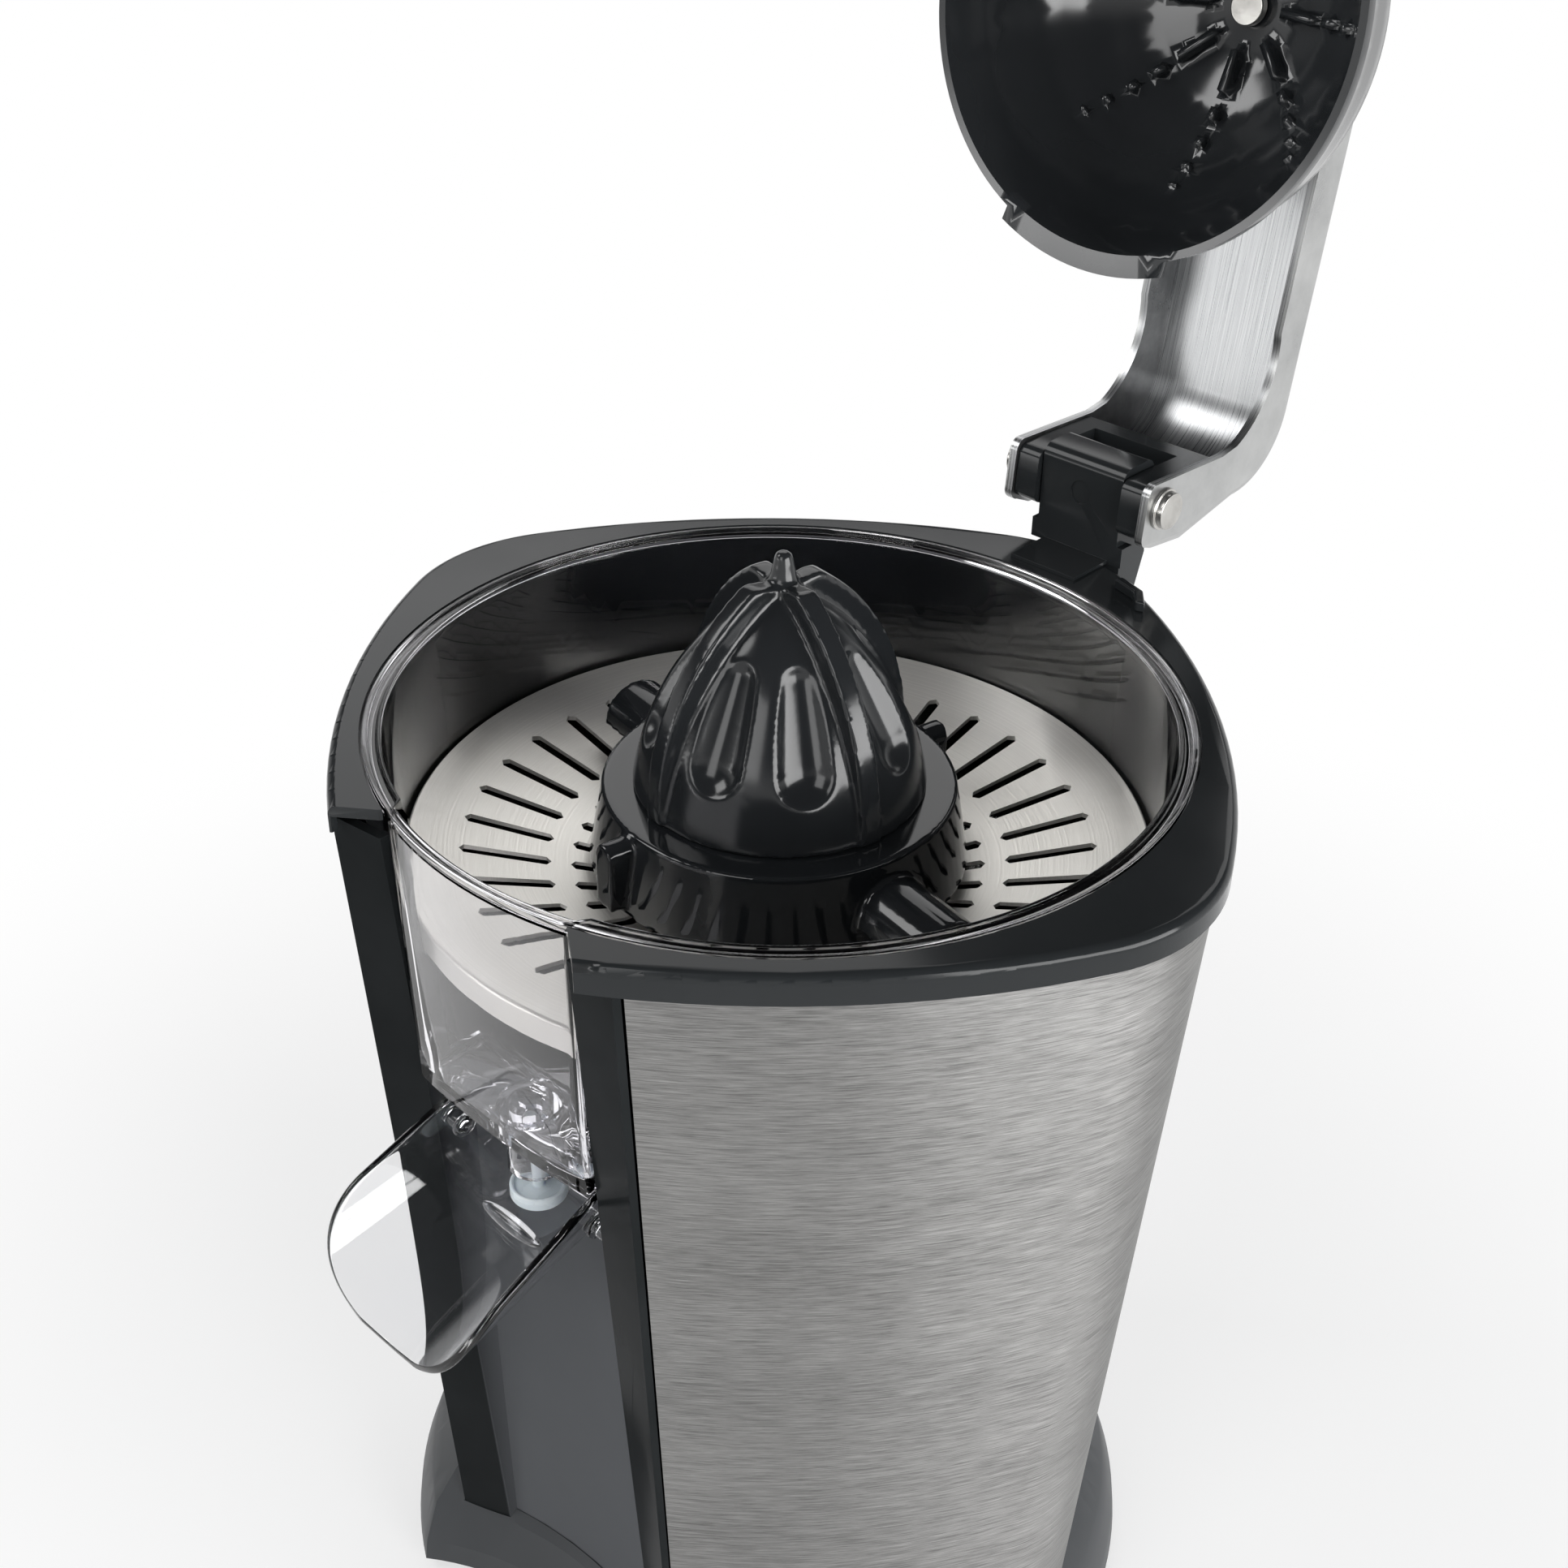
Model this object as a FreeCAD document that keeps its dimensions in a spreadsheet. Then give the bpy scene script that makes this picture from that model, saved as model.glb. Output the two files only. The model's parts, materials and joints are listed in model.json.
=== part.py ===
import FreeCAD, Part
import Sketcher
import math
import os

# Citrus press: lengths in mm, angles in degrees.
# The reamer turns on a vertical axis at y = axis_y. Minus Y is the spout side, Z = 0 is the floor.
# Heights whose names start with z_ are measured from the top of the deck, up is positive.

doc = FreeCAD.newDocument("citrus_press")
sheet = doc.addObject("Spreadsheet::Sheet", "sizes")

SIZES = {
    "axis_y": -34.32, "deck_z": 238.0,
    # plan outline of the deck: four bulged sides and four round corners
    "side_r": 182.0, "side_reach": 89.6, "corner_r": 38.8, "deck_h": 6.0, "deck_skin": 2.4,
    "deck_round": 2.0, "skirt_t": 1.6, "notch_out": 34.6, "notch_in": 26.5, "notch_y": 81.0,
    # well below the deck
    "z_ledge": -2.4, "well_floor_r": 80.3, "z_well_floor": -66.0, "well_t": 1.8, "z_tube": -40.0,
    "well_gap_x": 34.0, "well_gap_y": 62.0,
    # steel jacket
    "z_jacket_top": -2.7, "jacket_foot": 6.2, "jacket_t": 0.8, "inset_top": 1.9, "inset_foot": 14.0,
    "open_top": 39.9, "open_foot": 37.5,
    # front panel with its two pillars and the hollow between them
    "z_panel": -6.3, "panel_t": 2.0, "pillar_top_x": 39.5, "pillar_top_y": 83.0, "pillar_foot_x": 37.2,
    "pillar_foot_y": 69.6, "cheek_top_x": 26.3, "cheek_top_y": 81.4, "cheek_foot_x": 25.5,
    "cheek_foot_y": 64.4, "back_top_x": 25.0, "back_top_y": 68.0, "back_foot_x": 25.4,
    "back_foot_y": 63.4, "back_top_r": 45.4, "back_foot_r": 96.0, "back_steps": 6, "z_bay": -68.2,
    "pillar_back_top": 79.4, "pillar_back_bay": 74.6,
    # base
    "base_r": 91.0, "foot_h": 3.0, "front_r": 72.5, "front_y": 66.5, "base_t": 2.4, "base_z1": 9.0,
    "base_in1": 0.8, "base_z2": 20.0, "base_in2": 4.4, "base_z3": 34.0, "base_in3": 16.5, "cover_in": 3.4,
    "cover_t": 2.6, "foot_x": 48.0, "foot_y": 46.0, "pad_r": 7.0, "pad_sink": 1.0, "screw_x": 60.0,
    "screw_y": 22.0, "screw_r": 1.8, "screw_head_r": 3.4, "screw_head_h": 1.6, "screw_l": 16.0,
    "boss_r": 4.2, "vent_w": 3.0, "vent_l": 26.0, "vent_pitch": 7.0,
    # clear bowl
    "bowl_r": 84.0, "rim_h": 2.0, "bowl_top_r": 82.0, "bowl_low_r": 80.2, "z_bowl_low": -37.4,
    "bowl_floor_r": 76.6, "z_bowl_floor": -63.0, "bowl_t": 2.0, "z_seat": -34.6, "lip_in": 80.2,
    "groove_in": 81.0, "groove_out": 82.8, "groove_d": 0.9, "win_half": 25.2, "win_foot_half": 25.0,
    "win_foot_y": 78.4, "win_foot_r": 224.0, "z_win_foot": -65.4, "win_back": 62.6, "z_chute": -62.3,
    "z_hub": -42.5, "drain_y": 70.0, "seat_ring_r": 6.4, "seat_ring_h": 1.2, "drain_r": 6.0,
    "drain_bore": 4.4, "z_drain": -78.0, "spider_w": 1.6, "spider_h": 2.0,
    # sieve
    "sieve_r": 77.8, "z_sieve": -28.4, "sieve_flat_r": 38.0, "z_sieve_flat": -38.3, "sieve_t": 0.8,
    "z_sieve_foot": -34.4, "slot_in": 48.0, "slot_out": 67.0, "slot_w": 2.8, "slot_round": 1.0,
    "slot2_in": 31.0, "slot2_out": 44.0, "slot_count": 36,
    # reamer
    "z_cone": -17.2, "cone_r": 30.6, "nib_r": 3.2, "nib_foot": 1.0, "z_nib": 26.0, "cone_bulge": 63.0,
    "nib_tip_r": 1.75, "nib_round": 0.5, "z_nib_tip": 34.5, "cone_turn": -11.0, "facet_turn": 15.0,
    "cone_wall": 4.0, "z_cone_hollow": 10.0,
    # long hollows of the cone: round at both ends, wider below
    "flute_turn": 20.0, "flute_low_r": 8.0, "flute_low_out": 30.8, "z_flute_low": 0.7, "flute_top_r": 5.0,
    "flute_top_out": 19.5, "z_flute_top": 16.1,
    # blades of the cone
    "blade_w": 4.8, "blade_in": 3.0, "z_blade": 28.3, "crest_r": 8.0, "z_crest": 28.9, "blade_foot": 0.6,
    "blade_bulge": 52.0, "blade_root": 6.0, "z_blade_root": 14.0, "z_ring_foot": -34.6, "ring_t": 2.2,
    "ring_bore": 9.0, "sweep_r": 8.5, "sweep_t": 1.6, "z_sweep": -29.6, "tab_r": 3.0, "z_tab": -21.2,
    "z_tab_foot": -33.0,
    # drive
    "spindle_r": 4.0, "z_spindle_top": 9.0, "z_spindle_foot": -101.5, "z_bush_top": -41.0, "bush_l": 18.0,
    "seal_r": 10.5, "seal_h": 1.6, "mod": 1.5, "gear_out_n": 28, "idler_small_n": 12, "idler_large_n": 30,
    "pinion_n": 10, "centre": 30.0, "z_out_gear": -98.0, "gear_w": 8.0, "small_w": 13.0,
    "z_large": -112.0, "large_w": 8.0, "z_pinion": -113.0, "pinion_w": 8.5, "axle_r": 3.0,
    "z_axle_top": -84.0, "z_plate": -118.0, "plate_t": 3.0, "plate_x": 44.0, "plate_y1": 30.0,
    "plate_y2": 46.0, "post_r": 4.0, "post_x": 37.0, "post_y": 20.0, "can_r": 33.0, "can_t": 1.6,
    "can_lid": 2.0, "field_end": 12.0, "z_can_foot": -186.0, "shaft_r": 2.5, "core_r": 20.0,
    "air_gap": 0.6, "cap_h": 5.0, "cap_r": 34.0, "fan_r": 27.0, "z_fan": -203.0, "fan_h": 9.0,
    "collar_t": 2.5, "z_collar": -84.0, "collar_arm": 36.0, "collar_arm_w": 7.0, "clip_t": 1.0,
    "button_x": 33.0, "button_r": 1.5, "switch_x1": 27.5, "switch_x2": 42.0, "switch_w": 10.0,
    "z_switch_top": -87.0, "z_switch_foot": -98.0, "bracket_t": 2.0, "button_sink": 2.4,
    # hinge post
    "post_front": 99.6, "post_back": 111.6, "z_post": 23.6, "post_round": 3.0, "plate_front": 87.0,
    "plate_h": 0.8, "plate_half": 9.0, "z_heel": -13.0, "waist_h": 6.0, "tab_w": 1.6, "tab_h": 4.8,
    "mark_r": 2.8, "z_mark": 15.0, "mark_d": 0.4, "catch_x": 17.5, "catch_y": 90.6, "catch_turn_x": 24.0,
    "catch_turn_y": 88.6, "catch_end_x": 27.4, "catch_end_y": 84.6, "catch_w": 2.0, "catch_h": 2.6,
    # arm, its heights and lengths taken from the pin with the arm closed
    "pin_y": 104.0, "z_pin": 16.0, "arm_open": 98.6, "pin_r": 3.0, "pin_head_t": 2.4, "washer_t": 0.8,
    "knuckle_w": 22.4, "arm_t": 2.0, "arm_lo": 36.5, "arm_hi": 49.3, "arm_end": 190.0, "bend_out_r": 20.0,
    "bend_in_r": 22.0, "nose_r": 16.0, "nose_in_r": 60.0, "nose_wall": 12.0, "tip_r": 12.0,
    "arm_round": 3.0, "fork_round": 2.8, "dome_drop": 18.0, "dome_r": 51.0, "dome_sphere": 48.6,
    "dome_shell": 50.8, "dome_base": 3.0, "dome_boss_r": 9.0, "flap_half": 24.3, "flap_turn": -3.7,
    "flap_t": 2.2, "rib_w": 2.0, "rib_count": 8, "rib_rise": 3.4, "dome_screw_r": 2.0, "dome_head_r": 4.0,
    "dome_head_h": 2.4, "grip_len": 62.0,
    # spout and valve
    "spout_y": 72.5, "z_spout": -79.6, "spout_tilt": 19.0, "scoop_up": 9.3, "scoop_back": 6.0,
    "scoop_tip": 42.2, "scoop_back_w": 20.4, "scoop_tip_w": 22.9, "scoop_back_d": 21.0,
    "scoop_tip_d": 15.9, "scoop_t": 1.8, "scoop_steps": 6, "rim_run": 22.4, "rim_fall_r": 20.4,
    "weir_w": 9.0, "weir_y": 8.4, "weir_r": 24.0, "weir_h": 2.6, "stud_r": 2.0, "stud_root": 17.0,
    "stud_x": 26.4, "stud_boss_x": 22.5, "plug_r": 6.0, "plug_t": 3.0, "plug_rim": 0.9, "plug_dish": 0.8,
    "z_plug": -86.4, "stem_r": 1.2, "z_stem": -64.5,
    # walls, laps and clearances between pieces that fit
    "bush_t": 3.0, "tube_t": 5.0, "press_fit": 0.02, "cone_hub_t": 4.0, "run_fit": 0.05,
    "slide_fit": 0.08, "collar_lap": 5.0, "clip_lap": 2.4, "shaft_fit": 0.06, "hub_gap": 2.0,
    "hub_t": 2.0, "sieve_gap": 2.0, "seat_gap": 0.3, "seat_lap": 1.6, "bowl_gap": 0.5, "ledge_lap": 1.1,
    "ring_step": 6.3, "ring_flare": 3.1, "sweep_root": 1.9, "sweep_l": 21.5, "tab_root": 0.9,
    "tab_l": 6.3, "fork_gap": 0.8, "notch_lap": 0.4, "fork_cheeks": 16.6, "liner_gap": 0.4,
    "head_lap": 1.3, "washer_lap": 1.9, "dome_t": 1.7, "flap_out": 3.0, "stud_gap": 0.3,
    "stud_boss_t": 1.6, "stem_gap": 0.15, "spider_t": 1.25,
}
# Sizes that follow from others, as formulas of the sheet.
FITS = {
    # drive: what the spindle and the shaft run in
    "tube_bore": "spindle_r + bush_t", "tube_r": "tube_bore + tube_t",
    "cone_bore": "spindle_r + press_fit", "cone_hub_r": "spindle_r + cone_hub_t",
    "bush_bore": "spindle_r + run_fit", "collar_bore": "spindle_r + slide_fit",
    "collar_r": "spindle_r + collar_lap", "clip_r": "spindle_r + clip_lap",
    "shaft_bore": "shaft_r + shaft_fit",
    # bowl and sieve round the tube and on their ledges
    "hub_bore": "tube_r + hub_gap", "hub_r": "hub_bore + hub_t", "sieve_bore": "hub_r + sieve_gap",
    "seat_r": "sieve_r + seat_gap", "seat_in": "sieve_r - seat_lap", "well_hole_r": "bowl_r + bowl_gap",
    "ledge_r": "bowl_r - ledge_lap",
    # ring under the cone
    "ring_r": "cone_r + ring_step", "ring_foot_r": "ring_r + ring_flare",
    "sweep_in": "ring_r - sweep_root", "sweep_out": "sweep_in + sweep_l", "tab_in": "ring_r - tab_root",
    "tab_out": "ring_r + tab_l",
    # arm, liner and pin round the post
    "fork_w": "knuckle_w + fork_gap", "notch_w": "knuckle_w - notch_lap",
    "arm_w": "knuckle_w + fork_cheeks", "liner_w": "arm_w - arm_t * 2 - liner_gap",
    "pin_bore": "pin_r + run_fit", "pin_head_r": "pin_r + head_lap", "washer_r": "pin_r + washer_lap",
    # dome
    "dome_in_r": "dome_r - dome_t", "flap_r": "dome_r + flap_out",
    # spout and valve
    "stud_hole": "stud_r + stud_gap", "stud_boss_r": "stud_r + stud_boss_t",
    "stem_hole": "stem_r + stem_gap", "spider_r": "stem_hole + spider_t",
}
FORMULAS = {key: repr(value) for key, value in SIZES.items()}
FORMULAS.update({key: "=" + formula for key, formula in FITS.items()})
for row, key in enumerate(FORMULAS, 1):
    sheet.set("A%d" % row, key)
    sheet.set("B%d" % row, FORMULAS[key])
    sheet.setAlias("B%d" % row, key)
doc.recompute()


class Size:
    """A number together with the formula that gives it from the sheet."""

    def __init__(self, text, value):
        self.text = text
        self.value = value

    def mix(self, sign, other, value):
        return Size("(%s %s %s)" % (self.text, sign, size(other).text), value)

    def __add__(self, other):
        return self.mix("+", other, self.value + size(other).value)

    def __sub__(self, other):
        return self.mix("-", other, self.value - size(other).value)

    def __mul__(self, other):
        return self.mix("*", other, self.value * size(other).value)

    def __truediv__(self, other):
        return self.mix("/", other, self.value / size(other).value)

    def __radd__(self, other):
        return size(other) + self

    def __rsub__(self, other):
        return size(other) - self

    def __rmul__(self, other):
        return size(other) * self

    def __neg__(self):
        return Size("(0 - %s)" % self.text, -self.value)

    def root(self):
        return Size("sqrt(%s)" % self.text, math.sqrt(self.value))


def size(thing):
    return thing if isinstance(thing, Size) else Size("%.6f" % thing, float(thing))


def s(key):
    return Size("sizes." + key, float(sheet.get(key)))


DECK = s("deck_z")


def level(key):
    """Height above the floor of a z_ size."""
    return DECK + s(key)


def body(name, x=0.0, y=0.0, z=0.0, turn=0.0):
    made = doc.addObject("PartDesign::Body", name)
    made.Label = name
    made.Placement = FreeCAD.Placement(FreeCAD.Vector(), FreeCAD.Rotation(FreeCAD.Vector(0, 0, 1), turn))
    made.setExpression("Placement.Base.x", size(x).text)
    made.setExpression("Placement.Base.y", (s("axis_y") + y).text)
    made.setExpression("Placement.Base.z", size(z).text)
    return made


def hinged(name, y=0.0, z=0.0):
    """Body drawn with the arm closed, y and z from the pin, and placed with the arm open."""
    made = doc.addObject("PartDesign::Body", name)
    made.Label = name
    angle = math.radians(-s("arm_open").value)
    away, up = size(y).value, size(z).value
    base = FreeCAD.Vector(
        0,
        s("axis_y").value + s("pin_y").value + away * math.cos(angle) - up * math.sin(angle),
        level("z_pin").value + away * math.sin(angle) + up * math.cos(angle))
    turn = FreeCAD.Rotation(FreeCAD.Vector(1, 0, 0), -s("arm_open").value)
    made.Placement = FreeCAD.Placement(base, turn)
    return made


def origin(made, role):
    return [item for item in made.Origin.OriginFeatures if item.Role == role][0]


def sketch(made, plane="XY", lift=None):
    drawn = made.newObject("Sketcher::SketchObject", made.Name + "_sketch")
    drawn.AttachmentSupport = [(origin(made, plane + "_Plane"), "")]
    drawn.MapMode = "FlatFace"
    if lift is not None:
        drawn.setExpression("AttachmentOffset.Base.z", size(lift).text)
    return drawn


def pin_point(rules, binds, part, spot, point):
    for axis, kind, line in ((0, "DistanceX", -2), (1, "DistanceY", -1)):
        if point[axis].value == 0.0:
            rules.append(Sketcher.Constraint("PointOnObject", part, spot, line))
        else:
            binds.append((len(rules), point[axis]))
            rules.append(Sketcher.Constraint(kind, part, spot, point[axis].value))


def settle(drawn, rules, binds):
    made = drawn.addConstraint(rules)
    for place, wanted in binds:
        drawn.setExpression("Constraints[%d]" % made[place], wanted.text)


def outline(drawn, points, arcs=None):
    """Closed loop through the points. arcs: side number -> (radius, +1 left turn or -1 right turn)."""
    arcs = arcs or {}
    points = [(size(a), size(b)) for a, b in points]
    first = drawn.GeometryCount
    flat = [FreeCAD.Vector(a.value, b.value, 0) for a, b in points]
    shapes, ends, rules, binds = [], [], [], []
    for i, start in enumerate(flat):
        stop = flat[(i + 1) % len(flat)]
        ends.append((1, 2))
        if i not in arcs:
            shapes.append(Part.LineSegment(start, stop))
            continue
        radius, hand = arcs[i]
        chord = stop - start
        reach = math.sqrt(max(size(radius).value ** 2 - chord.Length ** 2 / 4, 0))
        side = FreeCAD.Vector(-chord.y, chord.x, 0).normalize() * reach * hand
        centre = (start + stop) * 0.5 + side
        a0 = math.atan2(start.y - centre.y, start.x - centre.x)
        a1 = math.atan2(stop.y - centre.y, stop.x - centre.x)
        if hand < 0:
            a0, a1 = a1, a0
            ends[i] = (2, 1)
        if a1 < a0:
            a1 += 2 * math.pi
        ring = Part.Circle(centre, FreeCAD.Vector(0, 0, 1), size(radius).value)
        shapes.append(Part.ArcOfCircle(ring, a0, a1))
    drawn.addGeometry(shapes, False)
    for i in range(len(flat)):
        back = (i - 1) % len(flat)
        rules.append(Sketcher.Constraint("Coincident", first + back, ends[back][1], first + i, ends[i][0]))
    for i, point in enumerate(points):
        pin_point(rules, binds, first + i, ends[i][0], point)
    for i in arcs:
        binds.append((len(rules), size(arcs[i][0])))
        rules.append(Sketcher.Constraint("Radius", first + i, size(arcs[i][0]).value))
    settle(drawn, rules, binds)
    return drawn


def bow(start, stop, radius, hand=1, count=None):
    """Points of an arc as short straight steps, without its ends. hand +1 bends left, -1 bends right."""
    (ax, ay), (bx, by) = [(size(a), size(b)) for a, b in (start, stop)]
    dx, dy, radius = bx - ax, by - ay, size(radius)
    square = dx * dx + dy * dy
    reach = ((radius * radius - square / 4) / square).root() * hand
    cx, cy = (ax + bx) / 2 - dy * reach, (ay + by) / 2 + dx * reach
    first = math.atan2(ay.value - cy.value, ax.value - cx.value)
    sweep = 2 * math.asin(math.sqrt(square.value) / 2 / radius.value) * hand
    count = int(count or max(round(abs(math.degrees(sweep)) / s("facet_turn").value), 2))
    points = []
    for step in range(1, count):
        angle = first + sweep * step / count
        points.append((cx + radius * math.cos(angle), cy + radius * math.sin(angle)))
    return points


def circle(drawn, radius, x=0.0, y=0.0):
    first = drawn.GeometryCount
    x, y, radius = size(x), size(y), size(radius)
    centre = FreeCAD.Vector(x.value, y.value, 0)
    drawn.addGeometry([Part.Circle(centre, FreeCAD.Vector(0, 0, 1), radius.value)], False)
    rules, binds = [], []
    pin_point(rules, binds, first, 3, (x, y))
    binds.append((len(rules), radius))
    rules.append(Sketcher.Constraint("Radius", first, radius.value))
    settle(drawn, rules, binds)
    return drawn


def box(drawn, x1, y1, x2, y2):
    return outline(drawn, [(x1, y1), (x2, y1), (x2, y2), (x1, y2)])


def polygon(drawn, radius, sides, turn=15.0, x=0.0, y=0.0):
    points = []
    for step in range(sides):
        angle = math.radians(360.0 * step / sides + turn)
        points.append((x + radius * math.cos(angle), y + radius * math.sin(angle)))
    return outline(drawn, points)


def hexagon(drawn, radius):
    return polygon(drawn, radius, 6)


def pad(made, drawn, length, both=False, down=False, cut=False):
    made_by = made.newObject("PartDesign::Pocket" if cut else "PartDesign::Pad", made.Name + "_step")
    made_by.Profile = drawn
    made_by.setExpression("Length", size(length).text)
    if both:
        made_by.SideType = "Symmetric"
    # a pocket normally goes against the sketch's normal, a pad along it
    made_by.Reversed = (not down) if cut else down
    return made_by


def cut(made, drawn, length, both=False, down=False):
    return pad(made, drawn, length, both, down, True)


def spin(made, drawn, remove=False, line="V_Axis"):
    kind = "Groove" if remove else "Revolution"
    made_by = made.newObject("PartDesign::" + kind, made.Name + "_turn")
    made_by.Profile = drawn
    made_by.ReferenceAxis = (drawn, [line])
    made_by.Angle = 360.0
    return made_by


def loft(made, sections, remove=False):
    kind = "SubtractiveLoft" if remove else "AdditiveLoft"
    made_by = made.newObject("PartDesign::" + kind, made.Name + "_loft")
    made_by.Profile = sections[0]
    made_by.Sections = sections[1:]
    made_by.Ruled = True
    return made_by


def around(made, features, count):
    made_by = made.newObject("PartDesign::PolarPattern", made.Name + "_around")
    made_by.Originals = features
    made_by.Axis = (origin(made, "Z_Axis"), [""])
    made_by.Angle = 360.0
    made_by.Occurrences = int(size(count).value)
    made.Tip = made_by
    return made_by


def soften(made, feature, radius, wanted):
    """Round the edges of a feature that a test picks by their middle point."""
    doc.recompute()
    names = []
    for number, edge in enumerate(feature.Shape.Edges, 1):
        first, last = edge.ParameterRange
        if wanted(edge.valueAt((first + last) / 2), edge):
            names.append("Edge%d" % number)
    made_by = made.newObject("PartDesign::Fillet", made.Name + "_round")
    made_by.Base = (feature, names)
    made_by.setExpression("Radius", size(radius).text)
    made.Tip = made_by
    return made_by


def lathe(name, points, arcs=None, **place):
    made = body(name, **place)
    spin(made, outline(sketch(made, "XZ"), points, arcs))
    return made


def disc(made, radius, low, high, x=0.0, y=0.0, bore=None, remove=False):
    drawn = circle(sketch(made, "XY", low), radius, x, y)
    if bore is not None:
        circle(drawn, bore, x, y)
    return pad(made, drawn, size(high) - low, down=False, cut=remove)


def block(made, x1, y1, x2, y2, low, high, remove=False):
    return pad(made, box(sketch(made, "XY", low), x1, y1, x2, y2), size(high) - low, cut=remove)


# The plan outline. Every inset keeps the arc centres, so a set of insets gives an even taper.
SIDE_C = (s("side_r") - s("side_reach")) / math.sqrt(2)
SPAN = s("side_r") - s("corner_r")
CORNER_C = (SPAN * SPAN - SIDE_C * SIDE_C).root() - SIDE_C


def diamond(drawn, inset):
    corner = s("corner_r") - inset
    far = CORNER_C + corner * (CORNER_C + SIDE_C) / SPAN
    near = corner * SIDE_C / SPAN
    points = [(far, -near), (far, near), (near, far), (-near, far),
              (-far, near), (-far, -near), (-near, -far), (near, -far)]
    arcs = {}
    for i in range(8):
        arcs[i] = (corner if i % 2 == 0 else s("side_r") - inset, 1)
    return outline(drawn, points, arcs)


def side_y(x, inset):
    """Distance in front of the axis of the front sides of the outline at a given x."""
    radius = s("side_r") - inset
    across = SIDE_C + x
    return (radius * radius - across * across).root() - SIDE_C


def panel_inset(z):
    """Inset of the steel outline at a height above the floor."""
    top, foot = level("z_jacket_top"), s("jacket_foot")
    return s("inset_foot") + (s("inset_top") - s("inset_foot")) * (size(z) - foot) / (top - foot)


# Base: round skirt with a hollow front, standing on four pads.
def base_plan(drawn, inset):
    radius, hollow = s("base_r") - inset, s("front_r") + inset
    centre = s("front_y") + s("front_r")
    toe_y = (centre * centre - hollow * hollow + radius * radius) / (centre * 2)
    toe_x = (radius * radius - toe_y * toe_y).root()
    points = [(toe_x, -toe_y), (radius, 0), (0, radius), (-radius, 0), (-toe_x, -toe_y)]
    arcs = {0: (radius, 1), 1: (radius, 1), 2: (radius, 1), 3: (radius, 1), 4: (hollow, -1)}
    return outline(drawn, points, arcs)


def footprint(drawn, z, gap):
    """Plan of the jacket and the front panel together at a height, opened by a gap."""
    share = (level("z_panel") - z) / (level("z_panel") - s("jacket_foot"))

    def along(name):
        return s(name % "top") + (s(name % "foot") - s(name % "top")) * share

    inset = panel_inset(z) - gap
    corner = s("corner_r") - inset
    side = s("side_r") - inset
    far = CORNER_C + corner * (CORNER_C + SIDE_C) / SPAN
    near = corner * SIDE_C / SPAN
    px = along("pillar_%s_x") + gap
    sy = side_y(px, inset)
    py = along("pillar_%s_y") + gap
    cx, cy = along("cheek_%s_x"), along("cheek_%s_y") + gap
    bx, by = along("back_%s_x"), along("back_%s_y") + gap
    points = [(px, -sy), (far, -near), (far, near), (near, far), (-near, far), (-far, near), (-far, -near),
              (-px, -sy), (-px, -py), (-cx, -cy), (-bx, -by), (bx, -by), (cx, -cy), (px, -py)]
    arcs = {0: (side, 1), 1: (corner, 1), 2: (side, 1), 3: (corner, 1), 4: (side, 1), 5: (corner, 1),
            6: (side, 1), 10: (along("back_%s_r"), -1)}
    return outline(drawn, points, arcs)


base_shell = body("base_shell")
steps = [(s("foot_h"), size(0)), (s("base_z1"), s("base_in1")), (s("base_z2"), s("base_in2")),
         (s("base_z3"), s("base_in3"))]
loft(base_shell, [base_plan(sketch(base_shell, "XY", z), inset) for z, inset in steps])
thick = s("base_t")
inner = [(z - (thick if i else 0), inset + thick) for i, (z, inset) in enumerate(steps) if i != 1]
loft(base_shell, [base_plan(sketch(base_shell, "XY", z), inset) for z, inset in inner], True)
span = [s("foot_h"), s("base_z3") + 1]
loft(base_shell, [footprint(sketch(base_shell, "XY", z), z, 0.2) for z in span], True)

COVER_TOP = s("foot_h") + s("cover_t")
bottom_cover = body("bottom_cover")
pad(bottom_cover, base_plan(sketch(bottom_cover, "XY", s("foot_h")), s("cover_in")), s("cover_t"))
for sx in (1, -1):
    for sy in (1, -1):
        disc(bottom_cover, s("boss_r"), COVER_TOP, COVER_TOP + 9, s("screw_x") * sx, s("screw_y") * sy)
pads = sketch(bottom_cover, "XY", s("foot_h"))
holes = sketch(bottom_cover, "XY", s("foot_h"))
heads = sketch(bottom_cover, "XY", s("foot_h"))
for sx in (1, -1):
    for sy in (1, -1):
        circle(pads, s("pad_r") + 0.15, s("foot_x") * sx, s("foot_y") * sy)
        circle(holes, s("screw_r"), s("screw_x") * sx, s("screw_y") * sy)
        circle(heads, s("screw_head_r") + 0.2, s("screw_x") * sx, s("screw_y") * sy)
cut(bottom_cover, pads, s("pad_sink"))
cut(bottom_cover, holes, 40)
cut(bottom_cover, heads, s("screw_head_h"))
vents = sketch(bottom_cover, "XY", s("foot_h"))
for step in range(-3, 4):
    middle = s("vent_pitch") * step
    box(vents, -s("vent_l") / 2, middle - s("vent_w") / 2, s("vent_l") / 2, middle + s("vent_w") / 2)
cut(bottom_cover, vents, s("cover_t") + 1)

rubber_feet = body("rubber_feet")
drawn = sketch(rubber_feet)
for sx in (1, -1):
    for sy in (1, -1):
        circle(drawn, s("pad_r"), s("foot_x") * sx, s("foot_y") * sy)
pad(rubber_feet, drawn, s("foot_h") + s("pad_sink"))

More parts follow.
